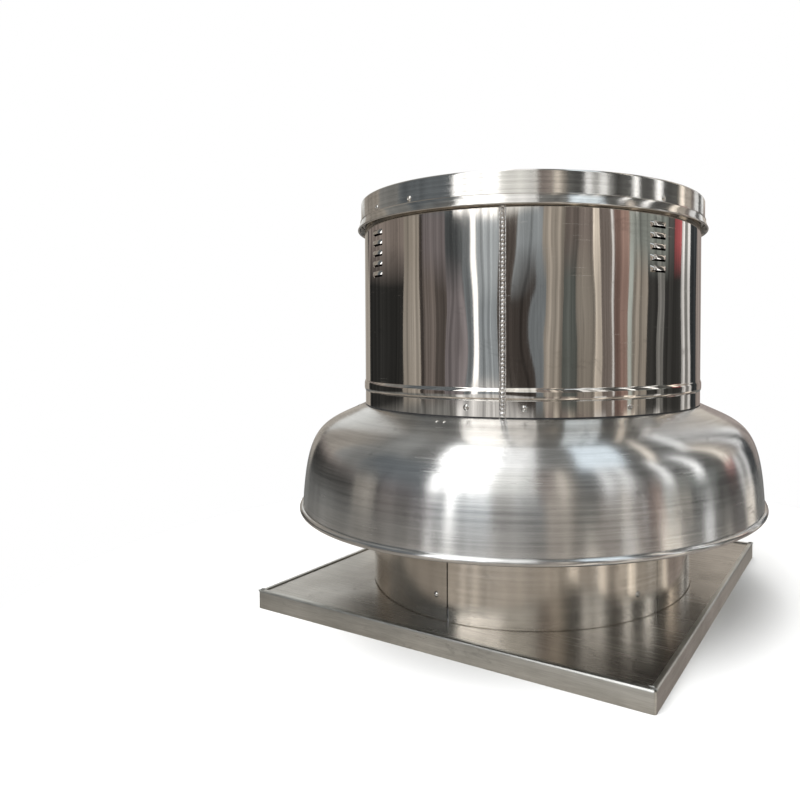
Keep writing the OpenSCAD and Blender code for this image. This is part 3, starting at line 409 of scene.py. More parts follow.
def brushed(name, pale, dark, rough, grain, grain_depth, patch=6.0, brush_round=0.0, metallic=1.0,
            lines_seen=0.12, stains=0.0, scratches=0.0, waves=0.0, dents=()):
    """Metal with grain along one way, slow patches and, if asked, stains, scratches and dents."""
    material, tree, shader = new_finish(name, metallic)
    low, high = rough
    lines = noise(tree, grain, detail=5, roughness=0.7)
    wide_lines = noise(tree, tuple(part * 0.16 for part in grain), detail=4, roughness=0.65)
    clouds = noise(tree, (patch, patch, patch), detail=3)
    colour = blend_colours(tree, spread(tree, clouds, 0, 1), dark, pale)
    both_lines = math_node(tree, "ADD", spread(tree, lines, 0, 0.5), spread(tree, wide_lines, 0, 0.5))
    colour = blend_colours(tree, spread(tree, both_lines, lines_seen, 0, 0.25, 0.75), colour,
                           tuple(LINE_SHADE * part for part in dark))
    roughness = math_node(tree, "ADD", spread(tree, both_lines, 0.5 * low, 0.5 * high, 0.2, 0.8),
                          spread(tree, clouds, 0.5 * high, 0.5 * low))
    if stains:
        smudge = noise(tree, (patch * 1.7, patch * 1.7, patch * 3.5), detail=6, roughness=0.75,
                       distortion=0.6)
        marks = spread(tree, smudge, 0, stains, 0.58, 0.74)
        colour = blend_colours(tree, marks, colour, tuple(STAIN_SHADE * part for part in dark))
        roughness = math_node(tree, "ADD", roughness, math_node(tree, "MULTIPLY", marks, 0.12))
    if scratches:
        for tilt, turn in SCRATCH_WAYS:
            line = noise(tree, (9, 9, 520), detail=1, turn=turn, tilt=tilt)
            gate = noise(tree, (16, 16, 16), detail=1, turn=turn)
            hair = math_node(tree, "MULTIPLY", spread(tree, line, 0, 1, 0.72, 0.75),
                             spread(tree, gate, 0, scratches, 0.56, 0.68))
            colour = blend_colours(tree, hair, colour, SCRATCH_COLOUR)
            roughness = math_node(tree, "ADD", roughness, math_node(tree, "MULTIPLY", hair, 0.5))
    tree.links.new(colour, shader.inputs["Base Color"])
    tree.links.new(roughness, shader.inputs["Roughness"])
    normal = bump(tree, lines, grain_depth)
    if waves:
        rolling = noise(tree, (5, 5, 3), detail=1.5, roughness=0.35)
        normal = bump(tree, rolling, waves, under=normal)
    for centre, size, depth in dents:
        normal = bump(tree, dent(tree, centre, size), depth, under=normal)
    tree.links.new(normal, shader.inputs["Normal"])
    if brush_round:
        shader.inputs["Anisotropic"].default_value = brush_round
        shader.inputs["Anisotropic Rotation"].default_value = 0.25
        tangent = add(tree, "ShaderNodeTangent", direction_type="RADIAL", axis="Z")
        tree.links.new(tangent.outputs[0], shader.inputs["Tangent"])
    return material


# %% [markdown]
# ### The metals of this fan
# The cap is brushed round its band, the compartment is almost a mirror with upright
# rolling marks, the hood is spun and satin, and the skirt and base are mill finish
# sheet. The hidden pieces are galvanised steel, cast and painted metal, and rubber. The
# heat of the weld has bent the polished wall beside it: one long shallow dent and two
# faint ones, each a centre, its half sizes and its depth.

# %% Named metals
WELD_DENTS = [
    (on_wall(shell_r, -72.5, 0.500), (0.076, 0.076, 0.150), 0.0015),
    (on_wall(shell_r, -84.0, 0.455), (0.030, 0.030, 0.120), -0.0003),
    (on_wall(shell_r, -55.0, 0.560), (0.050, 0.050, 0.100), 0.0004),
]
cap_brushed = brushed("cap_brushed", (0.72, 0.71, 0.68), (0.60, 0.58, 0.55), (0.06, 0.14),
                      (8, 8, 1500), 0.00003, patch=5, brush_round=0.5, lines_seen=0.30, stains=0.25,
                      waves=0.002)
shell_polished = brushed("shell_polished", (0.74, 0.71, 0.67), (0.64, 0.60, 0.55), (0.025, 0.075),
                         (420, 420, 5), 0.000006, patch=4, lines_seen=0.22, stains=0.35, scratches=0.4,
                         waves=0.006, dents=WELD_DENTS)
hood_spun = brushed("hood_spun", (0.80, 0.80, 0.79), (0.66, 0.66, 0.65), (0.15, 0.25),
                    (7, 7, 1300), 0.00002, patch=7, brush_round=0.9, lines_seen=0.26, stains=0.45,
                    scratches=0.4, waves=0.003)
skirt_rolled = brushed("skirt_rolled", (0.72, 0.68, 0.62), (0.60, 0.55, 0.49), (0.14, 0.26),
                       (6, 6, 900), 0.00002, patch=5, brush_round=0.8, lines_seen=0.20, stains=0.35,
                       waves=0.004)
base_edge = brushed("base_edge", (0.74, 0.74, 0.71), (0.56, 0.56, 0.53), (0.26, 0.42),
                    (30, 30, 700), 0.00003, patch=9, lines_seen=0.35, stains=0.5, scratches=0.5)
base_sheet = brushed("base_sheet", (0.66, 0.64, 0.60), (0.42, 0.40, 0.37), (0.16, 0.32),
                     (5, 700, 20), 0.00002, patch=6, lines_seen=0.30, stains=0.55, scratches=0.8,
                     waves=0.002)
weld_metal = brushed("weld_metal", (0.97, 0.96, 0.95), (0.74, 0.72, 0.70), (0.12, 0.26),
                     (260, 260, 320), 0.0001, patch=60, lines_seen=0.5)
screw_zinc = brushed("screw_zinc", (0.74, 0.73, 0.70), (0.55, 0.53, 0.50), (0.10, 0.22),
                     (500, 500, 500), 0.00003, patch=40)
galvanised = brushed("galvanised", (0.56, 0.57, 0.58), (0.38, 0.39, 0.41), (0.32, 0.50),
                     (60, 60, 60), 0.00005, patch=26)
wheel_aluminium = brushed("wheel_aluminium", (0.70, 0.70, 0.69), (0.55, 0.55, 0.54), (0.25, 0.40),
                          (6, 6, 800), 0.00003, patch=6)
cast_grey = brushed("cast_grey", (0.20, 0.22, 0.24), (0.13, 0.145, 0.16), (0.45, 0.60),
                    (240, 240, 240), 0.00025, patch=14, metallic=0.0)
cowl_dark = brushed("cowl_dark", (0.10, 0.11, 0.12), (0.06, 0.065, 0.07), (0.40, 0.55),
                    (200, 200, 200), 0.00012, patch=10, metallic=0.0)
shaft_steel = brushed("shaft_steel", (0.62, 0.62, 0.61), (0.46, 0.46, 0.45), (0.16, 0.28),
                      (40, 40, 1800), 0.00002, patch=20, brush_round=0.4)
core_steel = brushed("core_steel", (0.30, 0.30, 0.31), (0.20, 0.20, 0.21), (0.35, 0.5),
                     (20, 20, 2600), 0.0001, patch=30)
copper = brushed("copper", (0.86, 0.48, 0.28), (0.62, 0.30, 0.15), (0.25, 0.40),
                 (300, 300, 900), 0.0003, patch=40)
rubber = brushed("rubber", (0.035, 0.035, 0.036), (0.02, 0.02, 0.021), (0.60, 0.80),
                 (500, 500, 500), 0.0001, patch=30, metallic=0.0)
print("finishes:", len(bpy.data.materials))

# %% [markdown]
# Each node of the frame gets the finish of its real metal. The mesh of a node is never
# touched: only the material in its slot is changed.

# %% Finishes on the frame's nodes
FINISH_OF = {
    base_sheet: ["base_plate"],
    base_edge: ["base_frame"],
    skirt_rolled: ["skirt_shell", "skirt_panel", "seam_straps"],
    galvanised: ["foot_ring", "skirt_deck", "strut_1", "strut_2", "strut_3", "strut_4", "strut_5",
                 "strut_6", "hood_brackets", "compartment_floor", "cap_ring", "motor_plate",
                 "wiring_conduit"],
    screw_zinc: ["foot_rivets", "skirt_screws", "inlet_cone_screws", "hood_rivets", "floor_bolts",
                 "floor_nuts", "conduit_nuts", "shell_screws", "cap_screws", "isolator_bolts",
                 "flange_bolts", "cowl_screws", "lid_screws", "hub_washer", "hub_bolt",
                 "hub_rivets"],
    wheel_aluminium: ["inlet_cone", "impeller_hub", "impeller_back_plate", "impeller_blades",
                      "impeller_shroud"],
    hood_spun: ["hood"],
    shell_polished: ["compartment_shell"],
    cap_brushed: ["top_cap"],
    weld_metal: ["shell_weld"],
    cast_grey: ["drive_shield", "motor_housing", "rear_shield", "terminal_box", "terminal_lid"],
    cowl_dark: ["fan_cowl", "cooling_fan", "cable_gland"],
    shaft_steel: ["motor_shaft", "lower_bearing", "upper_bearing", "hub_key"],
    core_steel: ["stator_core", "rotor_core"],
    copper: ["stator_windings"],
    rubber: ["hood_gasket", "isolators"],
}
for material, names in FINISH_OF.items():
    for name in names:
        slots = nodes[name].data.materials
        slots.clear()
        slots.append(material)
print("nodes with a finish:", sum(len(names) for names in FINISH_OF.values()))

# %% [markdown]
# ## Spun and rolled sheet metal
# A spun or rolled sheet is one outline turned round the fan's axis. The outline is
# drawn as a closed loop, down the outer side and up the inner side, so the sheet has
# its real thickness and no open edge. It could be a curve with a Screw modifier, but
# extruding vertices in edit mode and spinning them keeps every step in sight.

# %% Drawing an outline and turning it
SHEET = 2.0 * MM
THIN = 1.5 * MM


def arc(centre, radius, from_a, to_a, steps):
    """Points of an arc in the plane of an outline, angles up from the radial line."""
    turns = [math.radians(from_a + (to_a - from_a) * i / steps) for i in range(steps + 1)]
    return [(centre[0] + radius * math.cos(t), centre[1] + radius * math.sin(t)) for t in turns]


def without_repeats(points):
    """The points of an outline, less any that stands where the last one did."""
    kept = [points[0]]
    for point in points[1:]:
        if math.dist(point, kept[-1]) > 0.02 * MM:
            kept.append(point)
    return kept


def draw_outline(name, points, closed=True):
    """Extrude one vertex from point to point in the plane y = 0."""
    nothing_selected()
    points = without_repeats(points)
    bpy.ops.mesh.primitive_plane_add(size=MM, location=(points[0][0], 0, points[0][1]))
    piece = bpy.context.object
    piece.name = piece.data.name = name
    bpy.ops.object.transform_apply(location=True, rotation=False, scale=False)
    bpy.ops.object.mode_set(mode="EDIT")
    bpy.ops.mesh.select_mode(type="VERT")
    bpy.ops.mesh.select_all(action="SELECT")
    bpy.ops.mesh.merge(type="CENTER")
    for (r0, z0), (r1, z1) in zip(points, points[1:]):
        bpy.ops.mesh.extrude_region_move(TRANSFORM_OT_translate={"value": (r1 - r0, 0, z1 - z0)})
    if closed:
        ends = [Vector((r, 0, z)) for r, z in (points[0], points[-1])]
        pick("VERT", lambda v: min((v.co - end).length for end in ends) < 0.01 * MM)
        bpy.ops.mesh.edge_face_add()
    bpy.ops.mesh.select_all(action="SELECT")
    return piece


def turn_round(steps):
    """Spin the outline being edited a full turn and close it on itself."""
    bpy.ops.mesh.select_all(action="SELECT")
    bpy.ops.mesh.spin(steps=steps, angle=2 * math.pi, center=(0, 0, 0), axis=(0, 0, 1))
    bpy.ops.mesh.select_all(action="SELECT")
    bpy.ops.mesh.remove_doubles(threshold=0.01 * MM)
    bpy.ops.mesh.select_all(action="SELECT")
    bpy.ops.mesh.normals_make_consistent(inside=False)


def finished(piece, material, body, smooth=35.0, replaced=()):
    """Smooth the piece, give it its finish, and set it on its body."""
    only(piece)
    bpy.ops.object.shade_smooth_by_angle(angle=math.radians(smooth))
    piece.data.materials.clear()
    piece.data.materials.append(material)
    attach(piece, body)
    if replaced:
        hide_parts(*replaced)
    print(piece.name, "faces:", len(piece.data.polygons))
    return piece


def apply_modifier(piece, kind, **values):
    """Add one modifier, set it and apply it."""
    only(piece)
    modifier = piece.modifiers.new(kind.lower(), kind)
    for key, value in values.items():
        setattr(modifier, key, value)
    bpy.ops.object.modifier_apply(modifier=modifier.name)

# %% [markdown]
# ## The spun hood
# The hood is one disc of metal pressed over a turning former: a flat flange under the
# compartment, a domed top that bends down into an almost upright wall, and an edge rolled
# outwards into a lip. The dome is one smooth bend: it starts and ends on two corner
# points and leans towards the two between them, so that reflections run over it without
# a break, as they do on the real hood.

# %% Hood
HOOD_TOP_A = 25.0
TOP_HANDLE = 88 * MM
HOOD_WALL_A = 2.9
WALL_HANDLE = 158 * MM
HOLE_INSIDE = 44.5 * MM
LIP_BEAD_R = 5.5 * MM
HOOD_STEPS = 288
BEND_STEPS = 34


def step(length, angle):
    """A step of a length in a direction up from the radial line."""
    return Vector((length * math.cos(math.radians(angle)), length * math.sin(math.radians(angle))))


neck_point = Vector((shell_r + 1 * MM, hood_high.z))
lip_middle = Vector((hood_r - LIP_BEAD_R, hood_low.z + LIP_BEAD_R))
wall_foot = Vector((lip_middle.x - 0.5 * MM, lip_middle.y))
hood_corners = [neck_point, neck_point + step(TOP_HANDLE, -HOOD_TOP_A),
                wall_foot + step(WALL_HANDLE, 90 + HOOD_WALL_A), wall_foot]


def hood_point(share, inside):
    """A point of the dome from its neck to its foot, drawn inside by a distance."""
    row = hood_corners
    while len(row) > 2:
        row = [first.lerp(second, share) for first, second in zip(row, row[1:])]
    along = (row[1] - row[0]).normalized()
    return row[0].lerp(row[1], share) + inside * Vector((along.y, -along.x))


def hood_side(inside):
    """One side of the hood's sheet from its hole to the lip, drawn inside by a distance."""
    hole = (shell_r - HOLE_INSIDE, hood_high.z - inside)
    neck = (neck_point.x - inside * math.tan(math.radians(HOOD_TOP_A / 2)), neck_point.y - inside)
    dome = [tuple(hood_point(i / BEND_STEPS, inside)) for i in range(1, BEND_STEPS + 1)]
    return [hole, neck] + dome


def lip_direction(inside):
    """Direction from the middle of the lip to where a side of the sheet runs into it."""
    return math.degrees(math.acos((wall_foot.x - inside - lip_middle.x) / LIP_BEAD_R))


hood_outline = (hood_side(0)
                + arc(lip_middle, LIP_BEAD_R, lip_direction(0), lip_direction(SHEET) - 360, 22)
                + hood_side(SHEET)[::-1])
hood = draw_outline("hood_spun_skin", hood_outline)
turn_round(HOOD_STEPS)
finished(hood, hood_spun, "casing", 40, ["hood"])

# %% [markdown]
# ## The rolled compartment shell
# The compartment is a flat strip rolled into a tube and welded at one joint. A swage
# near its foot stiffens it. Its louvres are cut out of the wall and their upper side is
# pressed outwards into a small hood, so rain runs off while air goes in from below. The
# strip is drawn as a single line, with extra points where swage and louvres need them,
# and a point close to each end of the swage keeps the wall beside it flat. The sheet
# gets its thickness last, once the louvres have been pressed.

# %% Compartment shell, the plain tube
SWAGE_Z = shell_low.z + 35 * MM
SWAGE_H = 20 * MM
SWAGE_LOW_R = 9 * MM
SWAGE_TOP_R = 15 * MM
SWAGE_OUT = 2 * MM
BESIDE_SWAGE = 1.5 * MM
WALL_RINGS = 6
WALL_RING_PITCH = 26 * MM
LOUVRE_ANGLES = (-118, -24, 62, 156)
LOUVRE_COUNT = 5
LOUVRE_PITCH = 18 * MM
LOUVRE_H = 10.5 * MM
LOUVRE_OUT = 5 * MM
LOUVRE_HALF_A = 3.4
LOUVRE_GAP = 24 * MM
LOUVRE_Z = cap_low.z - LOUVRE_GAP - (LOUVRE_COUNT - 1) * LOUVRE_PITCH
SLOT_SHARE = 0.24
PRESSED = ((SLOT_SHARE, 1.0), (0.60, 0.92), (0.88, 0.60))
LOUVRE_LEVELS = (0, *(share for share, reach in PRESSED), 1)
SHELL_STEPS = 720

low_a = math.acos((SWAGE_LOW_R - SWAGE_OUT) / SWAGE_LOW_R)
top_a = math.acos((SWAGE_TOP_R - SWAGE_OUT) / SWAGE_TOP_R)
low_middle_z = SWAGE_Z - SWAGE_H / 2 + SWAGE_LOW_R * math.sin(low_a)
top_middle_z = SWAGE_Z + SWAGE_H / 2 - SWAGE_TOP_R * math.sin(top_a)
swage_line = arc((shell_r + SWAGE_OUT - SWAGE_LOW_R, low_middle_z), SWAGE_LOW_R,
                 -math.degrees(low_a), 0, 7)
swage_line += arc((shell_r + SWAGE_OUT - SWAGE_TOP_R, top_middle_z), SWAGE_TOP_R,
                  0, math.degrees(top_a), 8)
louvre_rows = [LOUVRE_Z + i * LOUVRE_PITCH for i in range(LOUVRE_COUNT)]
louvre_levels = [row + LOUVRE_H * share for row in louvre_rows for share in LOUVRE_LEVELS]
shell_line = [(shell_r, shell_low.z), (shell_r, swage_line[0][1] - BESIDE_SWAGE)] + swage_line
shell_line += [(shell_r, swage_line[-1][1] + BESIDE_SWAGE)]
shell_line += [(shell_r, SWAGE_Z + 30 * MM + i * WALL_RING_PITCH) for i in range(WALL_RINGS)]
shell_line += [(shell_r, z) for z in louvre_levels]
shell_line += [(shell_r, louvre_levels[-1] + 4 * MM), (shell_r, shell_high.z)]
shell = draw_outline("compartment_skin", shell_line, closed=False)
turn_round(SHELL_STEPS)
print("shell line points:", len(shell_line), "louvre rows:", [round(z, 3) for z in louvre_rows])

# %% [markdown]
# A louvre takes two steps. First the lowest strip of its faces is cut away, which opens
# the slot. Then the vertices above the slot are pushed straight out from the axis, the
# lowest row most and the ends of a row less than its middle. Scaling about the axis does
# this for all the louvres at once, because every one of them has the same radius.

# %% Compartment shell, the louvres
def louvre_offset(point):
    """How far round from the middle of the nearest louvre a point lies, in degrees."""
    return min(abs((angle_of(point) - a + 180) % 360 - 180) for a in LOUVRE_ANGLES)


def at_level(point, share):
    """Whether a point lies on a level of a louvre, from 0 at its slot to 1 at its top."""
    return any(abs(point.z - row - share * LOUVRE_H) < 0.1 * MM for row in louvre_rows)


pick("FACE", lambda f: at_level(f.calc_center_median(), SLOT_SHARE / 2)
     and louvre_offset(f.calc_center_median()) < LOUVRE_HALF_A - 0.5)
bpy.ops.mesh.delete(type="FACE")
ENDS = ((0, LOUVRE_HALF_A - 1.4, 1.0), (LOUVRE_HALF_A - 1.4, LOUVRE_HALF_A - 0.9, 0.84),
        (LOUVRE_HALF_A - 0.9, LOUVRE_HALF_A - 0.4, 0.5))
pushed = 0
for share, reach in PRESSED:
    for near, far, push in ENDS:
        pushed += pick("VERT", lambda v: at_level(v.co, share) and near <= louvre_offset(v.co) < far)
        grow = 1 + LOUVRE_OUT * reach * push / shell_r
        bpy.ops.transform.resize(value=(grow, grow, 1), center_override=(0, 0, 0))
print("points pressed out:", pushed)
apply_modifier(shell, "SOLIDIFY", thickness=THIN, offset=-1.0, use_even_offset=False)
finished(shell, shell_polished, "casing", 30, ["compartment_shell"])

# %% [markdown]
# ## The weld bead
# The compartment's joint was welded from foot to cap. A weld is a row of small frozen
# ripples, so one flattened drop is modelled and copied up the joint, each copy lapping
# over the last, and slimmer drops beside them make the two bright ridges where the bead
# meets the sheet. The row follows the swage, and the bead starts in a larger blob. The
# drops have slightly uneven sizes from a seeded random number, as a hand leaves them.

# %% Weld bead
WELD_A = -70.9
WELD_FOOT = 5 * MM
WELD_PITCH = 6.6 * MM
RIDGE_A = 0.80
DROP_OUT, DROP_HALF_H = 2.1 * MM, 3.7 * MM
DROP_HALF_W = (3.0 * MM, 3.6 * MM)
RIDGE_SIZE = (1.1 * MM, 1.15 * MM, 9.0 * MM)
BLOB_SIZE = (1.8 * MM, 5.2 * MM, 4.0 * MM)


def shell_radius_at(z):
    """Outer radius of the compartment shell at a height."""
    for (r0, z0), (r1, z1) in zip(shell_line, shell_line[1:]):
        if z0 <= z <= z1:
            return r0 + (r1 - r0) * (z - z0) / max(z1 - z0, 0.01 * MM)
    return shell_r


def at_wall(radius, angle, z):
    """Matrix that moves a piece modelled round +X onto an upright wall, facing outward."""
    return Matrix.Rotation(math.radians(angle), 4, "Z") @ Matrix.Translation((radius, 0, z))


def moved_copy(source, matrix):
    """A copy of a piece with its own mesh, moved by a matrix, its object left at the origin."""
    copy = source.copy()
    copy.data = source.data.copy()
    copy.data.transform(matrix)
    bpy.context.scene.collection.objects.link(copy)
    return copy


def joined(copies, name):
    """Join copies into one piece."""
    nothing_selected()
    for copy in copies:
        copy.select_set(True)
    bpy.context.view_layer.objects.active = copies[0]
    bpy.ops.object.join()
    copies[0].name = copies[0].data.name = name
    return copies[0]


nothing_selected()
bpy.ops.mesh.primitive_uv_sphere_add(segments=14, ring_count=8, radius=1)
drop = bpy.context.object
uneven = random.Random(7)
drops = []
weld_z = shell_low.z + WELD_FOOT
while weld_z < cap_low.z + 2 * MM:
    drop_size = (DROP_OUT, uneven.uniform(*DROP_HALF_W), DROP_HALF_H)
    place = at_wall(shell_radius_at(weld_z), WELD_A + uneven.uniform(-0.05, 0.05), weld_z)
    drops.append(moved_copy(drop, place @ Matrix.Diagonal((*drop_size, 1))))
    for side in (-RIDGE_A, RIDGE_A):
        place = at_wall(shell_radius_at(weld_z), WELD_A + side + uneven.uniform(-0.04, 0.04), weld_z)
        drops.append(moved_copy(drop, place @ Matrix.Diagonal((*RIDGE_SIZE, 1))))
    weld_z += WELD_PITCH * uneven.uniform(0.92, 1.08)
place = at_wall(shell_r, WELD_A, shell_low.z + WELD_FOOT)
drops.append(moved_copy(drop, place @ Matrix.Diagonal((*BLOB_SIZE, 1))))
bpy.data.objects.remove(drop)
finished(joined(drops, "shell_weld_bead"), weld_metal, "casing", 80, ["shell_weld"])
print("drops:", len(drops))

# %% [markdown]
# ## The top cap
# The cap is a shallow spun dish with a low crown. Its edge is rounded, its band ends in
# a small step, and below that a lip flares out over the compartment so that rain drips
# clear. The outline begins and ends on the axis, where the turning closes it.

# %% Top cap
CAP_CROWN = 8 * MM
CAP_EDGE_R = 3.5 * MM
CAP_LIP_H = 17 * MM
CAP_STEP = 1.3 * MM
LIP_EDGE_R = 1.6 * MM
CAP_STEPS = 288
cap_r = shell_r + 6.5 * MM
cap_lip_r = cap_high.x
edge_z = cap_high.z - CAP_CROWN - CAP_EDGE_R
step_z = cap_low.z + CAP_LIP_H


def crown_line(inside):
    """The top of the cap from the axis to its rounded edge."""
    reach = cap_r - CAP_EDGE_R
    return [(reach * i / 10, cap_high.z - inside - CAP_CROWN * (i / 10) ** 2) for i in range(11)]


def flare_line(inside):
    """The lip from the step down to the rolled edge, a little hollow."""
    start = cap_r + CAP_STEP - inside
    reach = cap_lip_r - LIP_EDGE_R * 0.4 - cap_r - CAP_STEP
    drop_h = CAP_LIP_H - LIP_EDGE_R * 2
    return [(start + reach * (i / 8) ** 1.15, step_z - 1 * MM - drop_h * i / 8) for i in range(9)]


cap_outline = crown_line(0) + arc((cap_r - CAP_EDGE_R, edge_z), CAP_EDGE_R, 90, 0, 7)
cap_outline += arc((cap_r + CAP_STEP, step_z + CAP_STEP), CAP_STEP, 180, 225, 3)
cap_outline += [(cap_r + CAP_STEP * 1.5, step_z + CAP_STEP * 0.3),
                (cap_r + CAP_STEP * 1.5, step_z - 0.3 * MM)]
cap_outline += flare_line(0)
cap_outline += arc((cap_lip_r - LIP_EDGE_R, cap_low.z + LIP_EDGE_R), LIP_EDGE_R, 20, -150, 8)
cap_outline += flare_line(THIN)[::-1]
cap_outline += [(cap_r - THIN, step_z), (cap_r - THIN, edge_z)]
cap_outline += arc((cap_r - CAP_EDGE_R, edge_z), CAP_EDGE_R - THIN, 0, 90, 5)
cap_outline += crown_line(THIN)[::-1]
cap = draw_outline("cap_skin", cap_outline, closed=False)
turn_round(CAP_STEPS)
finished(cap, cap_brushed, "casing", 30, ["top_cap"])

# %% [markdown]
# ## The skirt
# Two rolled sheets stand on the base and meet in two upright joints: an open one at the
# left, and a closed one at the right. Each sheet is a thin rectangle spun through its own
# angle, so its ends are real edges and the open joint is a real gap. The foot is stepped
# in a little, which leaves the thin dark line along the base.

# %% Skirt sheets
OPEN_JOINT_A = -88.9
CLOSED_JOINT_A = -20.5
HALF_SEAM_A = 0.1
SHEET_EDGE = 0.4 * MM
FOOT_GAP = 2.4 * MM
SHEET_STEP_A = 0.9
half_gap_a = math.degrees(1.5 * MM / skirt_r)


def rolled_sheet(name, start_a, end_a):
    """A sheet of the skirt between two angles, with its edges broken."""
    inner = skirt_r - SHEET
    step_top = skirt_foot + FOOT_GAP
    points = [(inner, skirt_foot), (inner + SHEET_EDGE, skirt_foot), (inner + SHEET_EDGE, step_top),
              (skirt_r - SHEET_EDGE, step_top), (skirt_r, step_top + SHEET_EDGE),
              (skirt_r, skirt_top - SHEET_EDGE), (skirt_r - SHEET_EDGE, skirt_top), (inner, skirt_top)]
    piece = draw_outline(name, points)
    bpy.ops.transform.rotate(value=-math.radians(start_a), orient_axis="Z", center_override=(0, 0, 0))
    steps = round((end_a - start_a) / SHEET_STEP_A)
    bpy.ops.mesh.spin(steps=steps, angle=-math.radians(end_a - start_a), center=(0, 0, 0),
                      axis=(0, 0, 1))
    bpy.ops.mesh.select_all(action="SELECT")
    bpy.ops.mesh.remove_doubles(threshold=0.01 * MM)
    bpy.ops.mesh.normals_make_consistent(inside=False)
    return piece


front_sheet = rolled_sheet("skirt_front_sheet", OPEN_JOINT_A + half_gap_a, CLOSED_JOINT_A - HALF_SEAM_A)
finished(front_sheet, skirt_rolled, "casing", 30, ["skirt_panel"])
long_sheet = rolled_sheet("skirt_long_sheet", CLOSED_JOINT_A + HALF_SEAM_A,
                          OPEN_JOINT_A + 360 - half_gap_a)
finished(long_sheet, skirt_rolled, "casing", 30, ["skirt_shell"])
for sheet in (front_sheet, long_sheet):
    turns = [angle_of(v.co) for v in sheet.data.vertices]
    print(sheet.name, "from", round(min(turns), 2), "to", round(max(turns), 2))

# %% [markdown]
# ## The folded base
# The base is one sheet folded down at its four sides, with a narrow lip left on top that
# frames the plate. A box gives the outside; its upright corners and its top edge are
# bevelled as a press leaves them, the top is inset for the lip and opened, the bottom is
# taken away, and the sheet's thickness comes last.

# %% Base frame
LIP_W = 9 * MM
CORNER_R = 4 * MM
FOLD_R = 3.5 * MM

nothing_selected()
bpy.ops.mesh.primitive_cube_add(size=1, location=(0, 0, base_h / 2),
                                scale=(2 * base_half, 2 * base_half, base_h))
base = bpy.context.object
base.name = base.data.name = "base_folded_sheet"
bpy.ops.object.transform_apply(location=True, rotation=False, scale=True)
bpy.ops.object.mode_set(mode="EDIT")
pick("EDGE", lambda e: abs(e.verts[0].co.z - e.verts[1].co.z) > base_h / 2)
bpy.ops.mesh.bevel(offset=CORNER_R, segments=5)
pick("FACE", lambda f: abs(f.normal.z) > 0.9 and f.calc_center_median().z < base_h / 2)
bpy.ops.mesh.delete(type="FACE")
pick("FACE", lambda f: f.normal.z > 0.9)
bpy.ops.mesh.inset(thickness=LIP_W)
bpy.ops.mesh.delete(type="FACE")
pick("EDGE", lambda e: all(v.co.z > base_h - 0.1 * MM for v in e.verts)
     and all(max(abs(v.co.x), abs(v.co.y)) > base_half - CORNER_R for v in e.verts)
     and len(e.link_faces) == 2 and any(abs(f.normal.z) < 0.5 for f in e.link_faces))
bpy.ops.mesh.bevel(offset=FOLD_R, segments=5)
bpy.ops.mesh.select_all(action="SELECT")
bpy.ops.mesh.normals_make_consistent(inside=False)
apply_modifier(base, "SOLIDIFY", thickness=SHEET, offset=-1.0, use_even_offset=True)
finished(base, base_edge, "casing", 35, ["base_frame"])

# %% [markdown]
# ## Screws
# The screws that show have low domed heads with a small dimple, pressed by the driver
# that formed them. One screw is turned from an outline and copied to each place, and the
# copies of a row are joined into one piece.

# %% Domed screws
HEAD_R = 5 * MM
HEAD_H = 2.4 * MM
SHANK_R = 2.5 * MM
DIMPLE_R = 1.9 * MM
DIMPLE_LINE = ((0.75, 0.8), (0.4, 1.1), (0, 1.2))
SCREW_STEPS = 32


def domed_screw(shank_l):
    """A screw along +X, the underside of its head at x = 0."""
    ball = 1.25 * HEAD_R
    rim_a = math.degrees(math.acos((HEAD_R - 0.2 * MM) / ball))
    dimple_a = math.degrees(math.acos(DIMPLE_R / ball))
    outline = [(0, -shank_l), (SHANK_R, -shank_l), (SHANK_R, 0), (HEAD_R, 0)]
    outline += arc((0, HEAD_H - ball), ball, rim_a, dimple_a, 8)
    outline += [(DIMPLE_R * share, HEAD_H - depth * MM) for share, depth in DIMPLE_LINE]
    piece = draw_outline("screw", outline, closed=False)
    turn_round(SCREW_STEPS)
    bpy.ops.mesh.select_all(action="SELECT")
    bpy.ops.transform.rotate(value=-math.radians(90), orient_axis="Y", center_override=(0, 0, 0))
    bpy.ops.object.mode_set(mode="OBJECT")
    heights = [v.co.x for v in piece.data.vertices]
    print("screw from x", round(min(heights), 4), "to", round(max(heights), 4))
    return piece


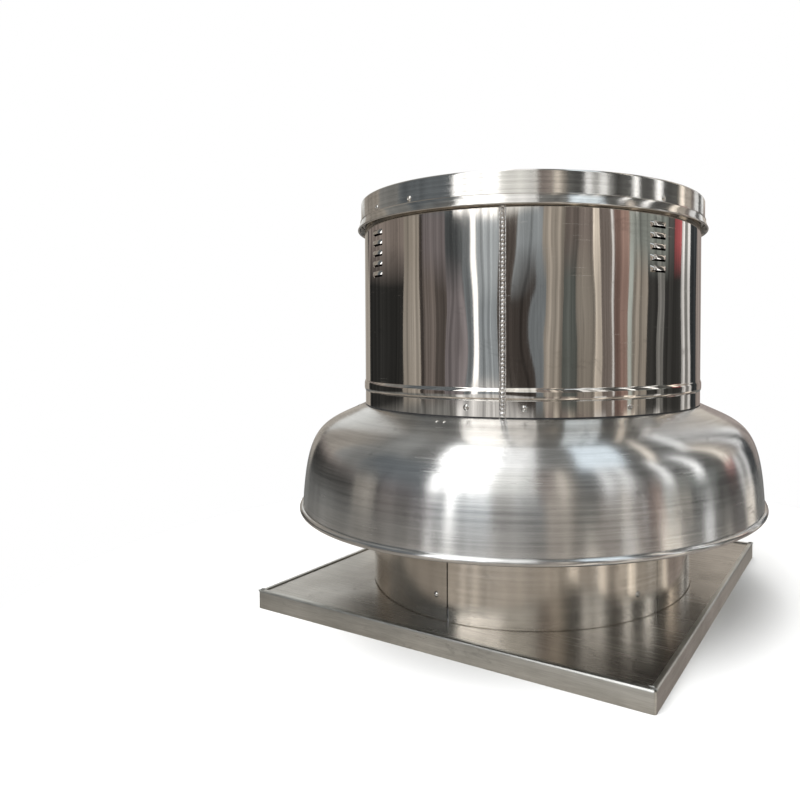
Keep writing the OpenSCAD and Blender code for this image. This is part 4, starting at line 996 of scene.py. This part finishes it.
def row_of_screws(name, node, radius, shank_l, places):
    """Copies of one screw at angles and heights of a wall, joined."""
    screw = domed_screw(shank_l)
    copies = [moved_copy(screw, at_wall(radius, angle, z)) for angle, z in places]
    bpy.data.objects.remove(screw)
    finished(joined(copies, name), screw_zinc, "casing", 40, [node])


SKIRT_SCREW_ANGLES = (-93, -29, 29, 87, 151, 209)
SHELL_SCREW_ANGLES = (-81.3, -65, -34.5, 98.7, 115, 145.5)
CAP_SCREW_ANGLES = (-116.2, -99.6, -23.3, 63.8, 80.4, 156.7)
SKIRT_SCREW_ROWS = (70 * MM, 190 * MM)
SHELL_SCREW_UP = 14 * MM
CAP_SCREW_DOWN = 39 * MM
row_of_screws("skirt_domed_screws", "skirt_screws", skirt_r, 9 * MM,
              [(a, z) for a in SKIRT_SCREW_ANGLES for z in SKIRT_SCREW_ROWS])
row_of_screws("shell_domed_screws", "shell_screws", shell_r, 9 * MM,
              [(a, shell_low.z + SHELL_SCREW_UP) for a in SHELL_SCREW_ANGLES])
row_of_screws("cap_domed_screws", "cap_screws", cap_r, 11 * MM,
              [(a, cap_high.z - CAP_SCREW_DOWN) for a in CAP_SCREW_ANGLES])

# %% [markdown]
# ## The floor
# The fan stands on a plain pale floor, which is no part of it. A disc is enough, and the
# backdrop goes on from its edge. It is hidden from reflections, because the bare metal
# would show it as one white patch; the metal reflects the studio's ground row instead.

# %% Floor
FLOOR_R = 0.98
FLOOR_Z = -0.5 * MM

nothing_selected()
bpy.ops.mesh.primitive_circle_add(vertices=96, radius=FLOOR_R, fill_type="NGON", location=(0, 0, FLOOR_Z))
floor = bpy.context.object
floor.name = "floor"
floor.visible_glossy = False
floor_paint, tree, shader = new_finish("floor_paint", 0.0, Roughness=0.7)
shade = spread(tree, noise(tree, (1.2, 1.2, 1.2)), 0, 1)
tree.links.new(blend_colours(tree, shade, (0.84, 0.84, 0.835), (0.88, 0.88, 0.875)),
               shader.inputs["Base Color"])
floor.data.materials.append(floor_paint)
